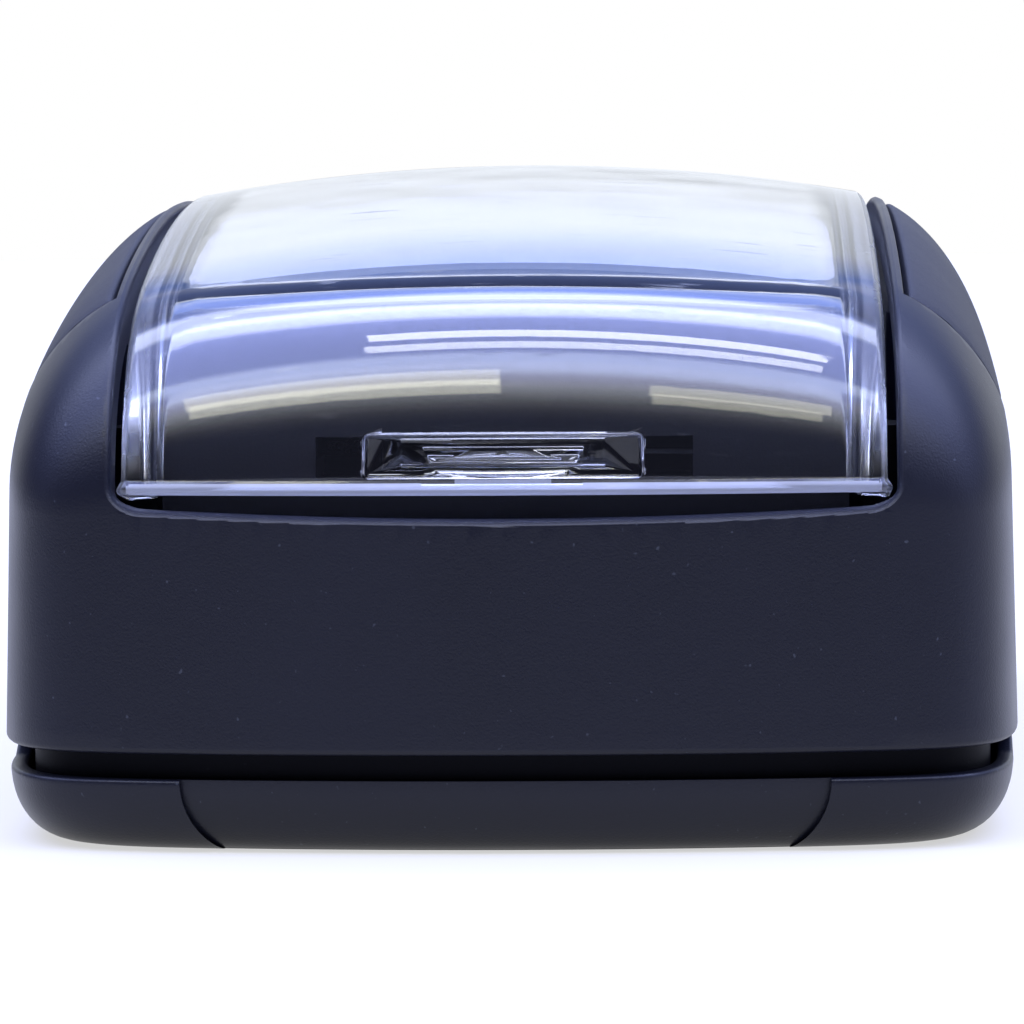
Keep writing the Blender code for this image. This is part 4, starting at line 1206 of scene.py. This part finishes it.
def add_camera():
    forward = Vector(
        (
            math.sin(CAMERA_YAW) * math.cos(CAMERA_PITCH),
            math.cos(CAMERA_YAW) * math.cos(CAMERA_PITCH),
            -math.sin(CAMERA_PITCH),
        )
    )
    right = Vector((math.cos(CAMERA_YAW), -math.sin(CAMERA_YAW), 0))
    up = right.cross(forward)
    cos, sin = math.cos(CAMERA_ROLL), math.sin(CAMERA_ROLL)
    rolled_right, rolled_up = right * cos - up * sin, right * sin + up * cos
    camera = bpy.data.objects.new("camera", bpy.data.cameras.new("camera"))
    camera.data.lens = CAMERA_LENS
    camera.data.sensor_width = 36
    camera.data.clip_start = 0.01
    camera.data.clip_end = 20
    turn = Matrix((rolled_right, rolled_up, -forward)).transposed().to_4x4()
    camera.matrix_world = Matrix.Translation(Vector(CAMERA_PLACE) * MM) @ turn
    bpy.context.scene.collection.objects.link(camera)
    bpy.context.scene.camera = camera


def add_floor():
    bm = bmesh.new()
    bmesh.ops.create_circle(bm, cap_ends=True, segments=128, radius=0.9)
    mesh = bpy.data.meshes.new("floor")
    bm.to_mesh(mesh)
    bm.free()
    floor = bpy.data.objects.new("floor", mesh)
    floor.location.z = -0.00002
    bpy.context.scene.collection.objects.link(floor)
    made, _, shader = shader_for("floor_white", (0.25, 0.25, 0.25), 0.9)
    shader.inputs["Specular IOR Level"].default_value = 0.0
    shader.inputs["Emission Color"].default_value = (1, 1, 1, 1)
    shader.inputs["Emission Strength"].default_value = 0.6
    mesh.materials.append(made)


# Light of the surroundings, by the angle from the horizon in front (0) over the top (90)
# to the horizon behind (180): dark in front, bright bands overhead, pale behind. Fitted to
# the bands that show on the clear lid.
SURROUNDINGS = (
    (0, (0.09, 0.095, 0.16)),
    (42, (0.08, 0.09, 0.15)),
    (49, (0.4, 0.4, 0.42)),
    (56, (1.6, 1.7, 1.8)),
    (63, (3.2, 3.3, 4.2)),
    (68, (3.0, 3.3, 5.6)),
    (72, (6.5, 7.4, 11.0)),
    (75, (6.5, 7.4, 11.0)),
    (78, (2.3, 2.8, 5.8)),
    (84, (2.1, 2.5, 5.4)),
    (108, (1.9, 2.3, 5.2)),
    (112, (6.4, 7.2, 11.0)),
    (120, (6.4, 7.2, 11.0)),
    (124, (0.6, 0.8, 2.0)),
    (128, (0.22, 0.3, 0.8)),
    (146, (0.3, 0.42, 1.0)),
    (152, (0.55, 0.65, 1.1)),
    (154.5, (0.2, 0.34, 0.9)),
    (160, (0.95, 1.0, 1.08)),
    (180, (0.95, 1.0, 1.08)),
)
BRIGHTEST = 12.0
DARK_SIDES = (0.005, 0.005, 0.01)


def add_world():
    """White where the camera looks, and for everything else the surroundings above.

    They are darker low down at the sides, and more so on the left.
    """
    world = bpy.data.worlds.new("studio")
    world.use_nodes = True
    tree = world.node_tree
    lit = tree.nodes["Background"]
    lit.inputs["Strength"].default_value = BRIGHTEST
    place = tree.nodes.new("ShaderNodeTexCoord")
    parts = tree.nodes.new("ShaderNodeSeparateXYZ")
    tree.links.new(place.outputs["Generated"], parts.inputs["Vector"])
    ahead = calculate(tree, "MULTIPLY", parts.outputs["Y"], -1.0)
    turn = calculate(tree, "ARCTAN2", parts.outputs["Z"], ahead)
    ramp = tree.nodes.new("ShaderNodeValToRGB")
    tree.links.new(spread(tree, turn, 0.0, math.pi, 0.0, 1.0), ramp.inputs["Fac"])
    stops = ramp.color_ramp.elements
    stops[0].position, stops[1].position = 0.0, 1.0
    for angle, color in SURROUNDINGS:
        if angle in (0, 180):
            stop = stops[0] if angle == 0 else stops[len(stops) - 1]
        else:
            stop = stops.new(angle / 180)
        stop.color = (*[c / BRIGHTEST for c in color], 1)
    left = spread(tree, parts.outputs["X"], -0.3, -0.75, 0.0, 0.9)
    right = spread(tree, parts.outputs["X"], 0.4, 0.9, 0.0, 0.7)
    low = spread(tree, parts.outputs["Z"], 0.4, 0.8, 1.0, 0.0)
    dark = calculate(tree, "MULTIPLY", calculate(tree, "MAXIMUM", left, right), low)
    dimmed = mix_colors(tree, dark, ramp.outputs["Color"], DARK_SIDES)
    tree.links.new(dimmed, lit.inputs["Color"])
    seen = tree.nodes.new("ShaderNodeBackground")
    seen.inputs["Color"].default_value = (1, 1, 1, 1)
    path = tree.nodes.new("ShaderNodeLightPath")
    mix = tree.nodes.new("ShaderNodeMixShader")
    tree.links.new(path.outputs["Is Camera Ray"], mix.inputs["Fac"])
    tree.links.new(lit.outputs["Background"], mix.inputs[1])
    tree.links.new(seen.outputs["Background"], mix.inputs[2])
    tree.links.new(mix.outputs["Shader"], tree.nodes["World Output"].inputs["Surface"])
    bpy.context.scene.world = world


def area_light(name, place, target, size, brightness, color=(1, 1, 1)):
    """A rectangular lamp of that brightness. Place, target and size are in millimetres."""
    light = bpy.data.lights.new(name, "AREA")
    light.shape = "RECTANGLE"
    light.size, light.size_y = size[0] * MM, size[1] * MM
    light.energy = brightness * math.pi * light.size * light.size_y
    light.color = color
    made = bpy.data.objects.new(name, light)
    made.location = Vector(place) * MM
    aim = (Vector(target) - Vector(place)).to_track_quat("-Z", "Y")
    made.rotation_euler = aim.to_euler()
    made.visible_camera = False
    bpy.context.scene.collection.objects.link(made)
    return made


def add_lights():
    """Lamps over the lid's rounded front, each seen in it as a short bright line."""
    front = Vector((0, -45, 22))
    for name, angle, across, size, brightness, color in (
        ("white_tube", 88.5, 38, (227, 32), 13.0, (0.95, 0.97, 1.0)),
        ("warm_left", 62.0, -103, (176, 60), 5.5, (1.0, 0.98, 0.7)),
        ("warm_right", 57.0, 116, (110, 42), 4.5, (1.0, 0.97, 0.72)),
    ):
        turn = math.radians(angle)
        place = front + Vector((across, -400 * math.cos(turn), 400 * math.sin(turn)))
        area_light(name, place, (across, *front[1:]), size, brightness, color)


build_object()
add_camera()
add_floor()
add_world()
add_lights()
bpy.context.scene.view_settings.view_transform = "Standard"
